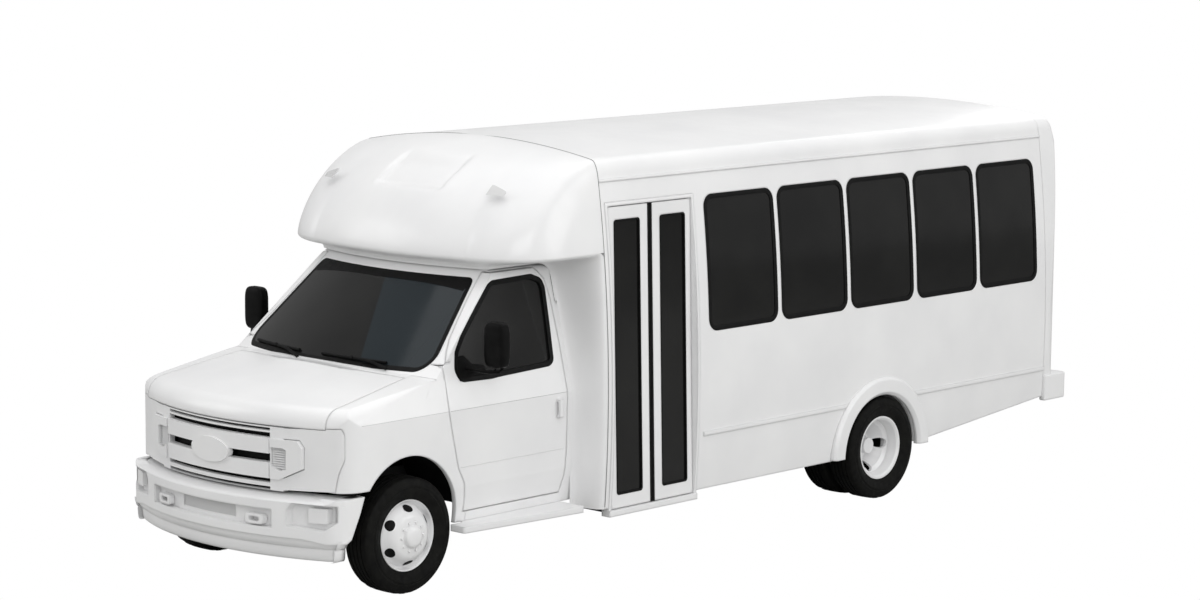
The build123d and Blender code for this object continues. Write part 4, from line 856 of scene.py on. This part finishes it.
def leaf_gasket(flip):
    y0, y1, z0, z1 = LEAF_PANE
    if flip:
        y0, y1 = 2 * ENTRY_MID - y1, 2 * ENTRY_MID - y0
    line = dense(round_outline([(y0, z0), (y1, z0), (y1, z1), (y0, z1)], [0.022] * 4, 6), 0.08)
    return bead(line, 0.012, lambda p, h: (leaf_x(p[1]) + h, p[0] + AXLE_Y, p[1]), 0.0015, -0.012, 0.001)


def leaf_seal(flip):
    """The rubber nose on a leaf's meeting edge."""
    y0, y1 = 2.0085, 2.0302
    if flip:
        y0, y1 = 2 * ENTRY_MID - y1, 2 * ENTRY_MID - y0
    z0, z1 = ENTRY_Z0 + 0.006, ENTRY_Z1 - 0.006
    section = [(y0, -0.019), (y0, 0.001), (y0 + 0.004, 0.0035), ((y0 + y1) / 2, 0.0045), (y1 - 0.004, 0.0035),
               (y1, 0.0005), (y1, -0.019)]
    verts = [(leaf_x(z) - 0.003 + h, y + AXLE_Y, z) for z in (z0, z1) for y, h in section]
    faces = rows_to_faces(2, len(section), closed_rows=False)
    faces += [list(range(len(section))), [len(section) + k for k in range(len(section))]]
    return verts, faces


for label, flip in (("front", False), ("rear", True)):
    piece("leaf_rubber_" + label, *join_parts([leaf_gasket(flip), leaf_seal(flip)]), SEAL, "entry_" + label,
          "black_plastic")

# ---------------------------------------------------------------------------
# Tyres with a road tread, in place of the plain CAD ones
# ---------------------------------------------------------------------------
TYRE_R, TYRE_W, RIM_R, RIM_W = 0.372, 0.222, 0.228, 0.152
TREAD_HALF = 0.085


def tyre_part(centre, steps=90):
    """Sidewall with steps and a bead, and a tread with three grooves and cut shoulders."""
    half = TYRE_W / 2
    wall = [(-RIM_W / 2, RIM_R), (-RIM_W / 2 - 0.010, RIM_R + 0.003), (-RIM_W / 2 - 0.013, RIM_R + 0.012),
            (-half + 0.010, RIM_R + 0.034), (-half + 0.002, RIM_R + 0.055), (-half, RIM_R + 0.070),
            (-half + 0.003, RIM_R + 0.073), (-half + 0.003, RIM_R + 0.084), (-half + 0.001, RIM_R + 0.087),
            (-half + 0.006, TYRE_R - 0.030), (-half + 0.012, TYRE_R - 0.018),
            (-TREAD_HALF - 0.004, TYRE_R - 0.008)]
    grooves = [-0.052, -0.017, 0.017, 0.052]
    crown = []
    for i, g in enumerate(grooves):
        crown += [(g - 0.006, 0.0), (g - 0.0045, -0.009), (g + 0.0045, -0.009), (g + 0.006, 0.0)]
    verts = []
    left = wall
    right = [(-x, r) for x, r in reversed(wall)]
    for s in range(steps):
        a = 2 * math.pi * s / steps
        notch = 0.007 if s % 3 == 0 else 0.0
        row = list(left)
        row.append((-TREAD_HALF + 0.004, TYRE_R - 0.004 - notch))
        row.append((-0.066, TYRE_R - 0.001 - notch * 0.9))
        for x, d in crown:
            sag = 0.003 * (x / TREAD_HALF) ** 2
            row.append((x, TYRE_R - sag + d))
        row.append((0.066, TYRE_R - 0.001 - notch * 0.9))
        row.append((TREAD_HALF - 0.004, TYRE_R - 0.004 - notch))
        row += right
        row.append((RIM_W / 2 - 0.004, RIM_R - 0.002))
        row.append((-RIM_W / 2 + 0.004, RIM_R - 0.002))
        n = len(row)
        for x, r in row:
            verts.append((centre[0] + x, centre[1] + r * math.sin(a), centre[2] + r * math.cos(a)))
    faces = []
    for s in range(steps):
        t = (s + 1) % steps
        for k in range(n):
            k2 = (k + 1) % n
            faces.append([s * n + k, t * n + k, t * n + k2, s * n + k2])
    return verts, faces


FRONT_X, REAR_X, DUAL = 0.881, 0.982, 0.132
REAR_AXLE_Y = 4.470 + AXLE_Y
TYRES = {
    "front_tyre_left": ("front_wheel_left", [(FRONT_X, AXLE_Y)]),
    "front_tyre_right": ("front_wheel_right", [(-FRONT_X, AXLE_Y)]),
    "rear_tyres_left": ("rear_wheels_left", [(REAR_X - DUAL, REAR_AXLE_Y), (REAR_X + DUAL, REAR_AXLE_Y)]),
    "rear_tyres_right": ("rear_wheels_right", [(-REAR_X + DUAL, REAR_AXLE_Y), (-REAR_X - DUAL, REAR_AXLE_Y)]),
}
for node, (body, places) in TYRES.items():
    parts = [tyre_part((x, y, TYRE_R)) for x, y in places]
    obj = piece(node + "_treaded", *join_parts(parts), TYRE, body, "tyre_rubber", angle=28)
    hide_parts(node)


# ---------------------------------------------------------------------------
# Wheel studs and nuts
# ---------------------------------------------------------------------------
def nut(x0, x1, y, z, r=0.013):
    verts = []
    for x, scale in ((x0, 1.0), (x1 - 0.004 * (1 if x1 > x0 else -1), 1.0), (x1, 0.75)):
        for k in range(6):
            a = math.pi / 3 * k
            verts.append((x, y + r * scale * math.sin(a), z + r * scale * math.cos(a)))
    faces = rows_to_faces(3, 6, closed_rows=False)
    faces += [list(range(6)), [12 + k for k in range(6)]]
    return verts, faces


def nuts(x0, x1, y, count, circle):
    parts = []
    for k in range(count):
        a = 2 * math.pi * (k + 0.5) / count
        parts.append(nut(x0, x1, y + circle * math.sin(a), TYRE_R + circle * math.cos(a)))
    return join_parts(parts)


STUDS = 10
STUD_CIRCLE = 0.092

# ---------------------------------------------------------------------------
# Pressed front wheels: domed disc, black ovals of painted shade for the oval hand holes, hub cap
# ---------------------------------------------------------------------------
# The disc from its lip in to the hub cap's middle: x outward, radius
RIM_FACE = [(0.060, 0.2285), (0.083, 0.2285), (0.086, 0.2250), (0.083, 0.2190), (0.066, 0.2130),
            (0.052, 0.2060), (0.048, 0.1990), (0.056, 0.1930), (0.080, 0.1820), (0.106, 0.1600),
            (0.121, 0.1380), (0.128, 0.1180), (0.129, 0.0800), (0.130, 0.0740), (0.146, 0.0690),
            (0.157, 0.0600), (0.161, 0.0400), (0.162, 0.0)]
HAND_HOLES, HOLE_CIRCLE = 6, 0.174
HOLE_ALONG, HOLE_ACROSS = 0.036, 0.0195


def face_at(r):
    for (x0, r0), (x1, r1) in zip(RIM_FACE, RIM_FACE[1:]):
        if r1 <= r <= r0:
            return x0 + (x1 - x0) * (r0 - r) / max(1e-9, r0 - r1)
    return RIM_FACE[-1][0]


# A black oval laid on the disc: painted shade standing in for a hand hole's dark inside.
def hand_hole_shade(k, x_mid, y, side, grow=0.0, lift=0.0012):
    turn = 2 * math.pi * k / HAND_HOLES
    verts, rings, around = [], 4, 28
    for j in range(rings + 1):
        for i in range(around):
            t = 2 * math.pi * i / around
            r = HOLE_CIRCLE + (HOLE_ACROSS + grow) * math.cos(t) * j / rings
            w = turn + (HOLE_ALONG + grow) * math.sin(t) * j / rings / HOLE_CIRCLE
            verts.append((x_mid + side * (face_at(r) + lift), y + r * math.sin(w), TYRE_R + r * math.cos(w)))
    return verts, rows_to_faces(rings + 1, around, False, True)


for label, side in (("left", 1), ("right", -1)):
    body = "front_wheel_" + label
    face = turned(RIM_FACE, (side * FRONT_X, AXLE_Y, TYRE_R), 72, side)
    obj = piece("front_disc_" + label, *face, RIM_WHITE, body, "rim_white", angle=50)
    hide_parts("front_rim_" + label)
    # Painted shade: black ovals on the disc stand in for the dark insides of the hand holes.
    hole_shades = [hand_hole_shade(k, side * FRONT_X, AXLE_Y, side) for k in range(HAND_HOLES)]
    piece("front_hole_shades_" + label, *join_parts(hole_shades), SEAL, body, "black_plastic")
    turns = [2 * math.pi * (k + 0.5) / STUDS for k in range(STUDS)]
    circle = [nut(side * (FRONT_X + 0.127), side * (FRONT_X + 0.139), AXLE_Y + STUD_CIRCLE * math.sin(t),
                  TYRE_R + STUD_CIRCLE * math.cos(t), 0.0105) for t in turns]
    piece("front_nuts_" + label, *join_parts(circle), RIM_WHITE, body, "rim_white")
    face = side * (REAR_X + 0.004)
    piece("rear_nuts_" + label, *nuts(face, face + side * 0.026, REAR_AXLE_Y, STUDS, STUD_CIRCLE),
          RIM_WHITE, "rear_wheels_" + label, "rim_white")

# ---------------------------------------------------------------------------
# Door mirrors: rounded heads on a looped arm
# ---------------------------------------------------------------------------
MIRROR_AT = (1.150, 0.602, 1.533)
MIRROR_HALF = (0.088, 0.044, 0.145)
MIRROR_POWER = 0.42


def mirror_head(side):
    verts, rings, around = [], 24, 40
    for j in range(rings + 1):
        p = math.pi * (j / rings - 0.5)
        for i in range(around):
            t = 2 * math.pi * i / around
            cp, sp, ct, st = math.cos(p), math.sin(p), math.cos(t), math.sin(t)
            u = [abs(cp) ** MIRROR_POWER * abs(ct) ** MIRROR_POWER * (1 if ct >= 0 else -1),
                 abs(cp) ** MIRROR_POWER * abs(st) ** MIRROR_POWER * (1 if st >= 0 else -1),
                 abs(sp) ** MIRROR_POWER * (1 if sp >= 0 else -1)]
            x, y, z = (MIRROR_AT[k] + u[k] * MIRROR_HALF[k] for k in range(3))
            verts.append((side * x, y + AXLE_Y, z))
    return verts, rows_to_faces(rings + 1, around, False, True)


def mirror_arm(side):
    z = 1.372
    foot_x = cab_x(z) - 0.004
    loop = [(foot_x, 0.520, z), (1.040, 0.530, z - 0.006), (1.130, 0.560, z - 0.012),
            (1.185, 0.590, z - 0.006), (1.196, 0.602, z + 0.014), (1.186, 0.602, z + 0.034)]
    low = [(foot_x, 0.600, z - 0.018), (1.060, 0.600, z - 0.022), (1.130, 0.602, z - 0.014),
           (1.150, 0.602, z + 0.034)]
    bars = [tube([(side * x, y + AXLE_Y, v) for x, y, v in line], 0.0115, 10) for line in (loop, low)]
    return join_parts(bars)


def mirror_foot(side):
    patch = [(0.446, 1.312), (0.700, 1.318), (0.690, 1.372), (0.585, 1.392), (0.520, 1.452), (0.450, 1.430)]
    line = round_outline(patch, [0.02] * 6, 5)
    top = [door_place(side, p, 0.010) for p in inset_outline(line, 0.004)]
    mid = [door_place(side, p, 0.006) for p in line]
    low = [door_place(side, p, -0.004) for p in line]
    n = len(line)
    return low + mid + top, rows_to_faces(3, n, False, True) + [[2 * n + k for k in range(n)]]


for label, side in (("left", 1), ("right", -1)):
    parts = [mirror_head(side), mirror_arm(side), mirror_foot(side)]
    obj = piece("mirror_" + label, *join_parts(parts), BLACK, "door_" + label, "black_plastic", angle=40)
    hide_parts("door_mirror_" + label)

# ---------------------------------------------------------------------------
# Studio: pale floor, soft lamps, the camera
# ---------------------------------------------------------------------------
FLOOR_HALF = 60


def stage_material():
    """A floor that is pure white to the eye and to mirrors, and pale grey to light."""
    mat = bpy.data.materials.new("studio_floor")
    mat.use_nodes = True
    tree = mat.node_tree
    tree.nodes.clear()
    out = tree.nodes.new("ShaderNodeOutputMaterial")
    mix = tree.nodes.new("ShaderNodeMixShader")
    path = tree.nodes.new("ShaderNodeLightPath")
    glow = tree.nodes.new("ShaderNodeEmission")
    glow.inputs["Strength"].default_value = 1.0
    plain = tree.nodes.new("ShaderNodeBsdfDiffuse")
    plain.inputs["Color"].default_value = (0.52, 0.52, 0.51, 1)
    tree.links.new(path.outputs["Is Camera Ray"], mix.inputs["Fac"])
    tree.links.new(plain.outputs["BSDF"], mix.inputs[1])
    tree.links.new(glow.outputs["Emission"], mix.inputs[2])
    tree.links.new(mix.outputs["Shader"], out.inputs["Surface"])
    return mat


floor_mesh = bpy.data.meshes.new("floor")
h = FLOOR_HALF
floor_mesh.from_pydata([(-h, -h, 0), (h, -h, 0), (h, h, 0), (-h, h, 0)], [], [[0, 1, 2, 3]])
floor_mesh.materials.append(stage_material())
studio_floor = bpy.data.objects.new("studio_floor", floor_mesh)
bpy.context.collection.objects.link(studio_floor)

scene = bpy.context.scene
world = bpy.data.worlds.new("studio")
scene.world = world
world.use_nodes = True
nodes, links = world.node_tree.nodes, world.node_tree.links
back = nodes["Background"]
back.inputs["Color"].default_value = (1, 1, 1, 1)
path = nodes.new("ShaderNodeLightPath")
seen = nodes.new("ShaderNodeMapRange")
seen.inputs["To Min"].default_value = 0.55
seen.inputs["To Max"].default_value = 1.0
links.new(path.outputs["Is Camera Ray"], seen.inputs["Value"])
links.new(seen.outputs["Result"], back.inputs["Strength"])


def lamp(name, where, aim, size, power):
    data = bpy.data.lights.new(name, "AREA")
    data.shape = "RECTANGLE"
    data.size, data.size_y = size
    data.energy = power
    obj = bpy.data.objects.new(name, data)
    bpy.context.collection.objects.link(obj)
    obj.location = where
    obj.rotation_euler = (Vector(aim) - Vector(where)).to_track_quat("-Z", "Y").to_euler()
    return obj


lamp("top", (1, -1, 13), (0, 0, 0), (16, 20), 1020)
lamp("key", (13, -11, 8), (0, 0, 1), (9, 7), 590)
lamp("side", (14, 5, 6), (0, 1.0, 1.2), (9, 6), 440)
lamp("fill", (-12, -12, 8), (0, -1, 1), (8, 8), 420)
lamp("rear", (-4, 16, 9), (0, 0, 1), (8, 6), 200)

CAMERA_AT = (15.1934, -16.4759, 4.6267)
AZIMUTH, ELEVATION, ROLL = 43.02, 8.02, 0.45
LENS_MM = 95.954
a, e, r = (math.radians(v) for v in (AZIMUTH, ELEVATION, ROLL))
forward = Vector((-math.sin(a) * math.cos(e), math.cos(a) * math.cos(e), -math.sin(e)))
right = forward.cross(Vector((0, 0, 1))).normalized()
up = right.cross(forward)
right, up = right * math.cos(r) + up * math.sin(r), up * math.cos(r) - right * math.sin(r)
camera_data = bpy.data.cameras.new("camera")
camera_data.sensor_width = 36
camera_data.lens = LENS_MM
camera = bpy.data.objects.new("camera", camera_data)
bpy.context.collection.objects.link(camera)
axes = Matrix((right, up, -forward)).transposed()
camera.matrix_world = Matrix.Translation(CAMERA_AT) @ axes.to_4x4()
scene.camera = camera
scene.view_settings.view_transform = "Standard"
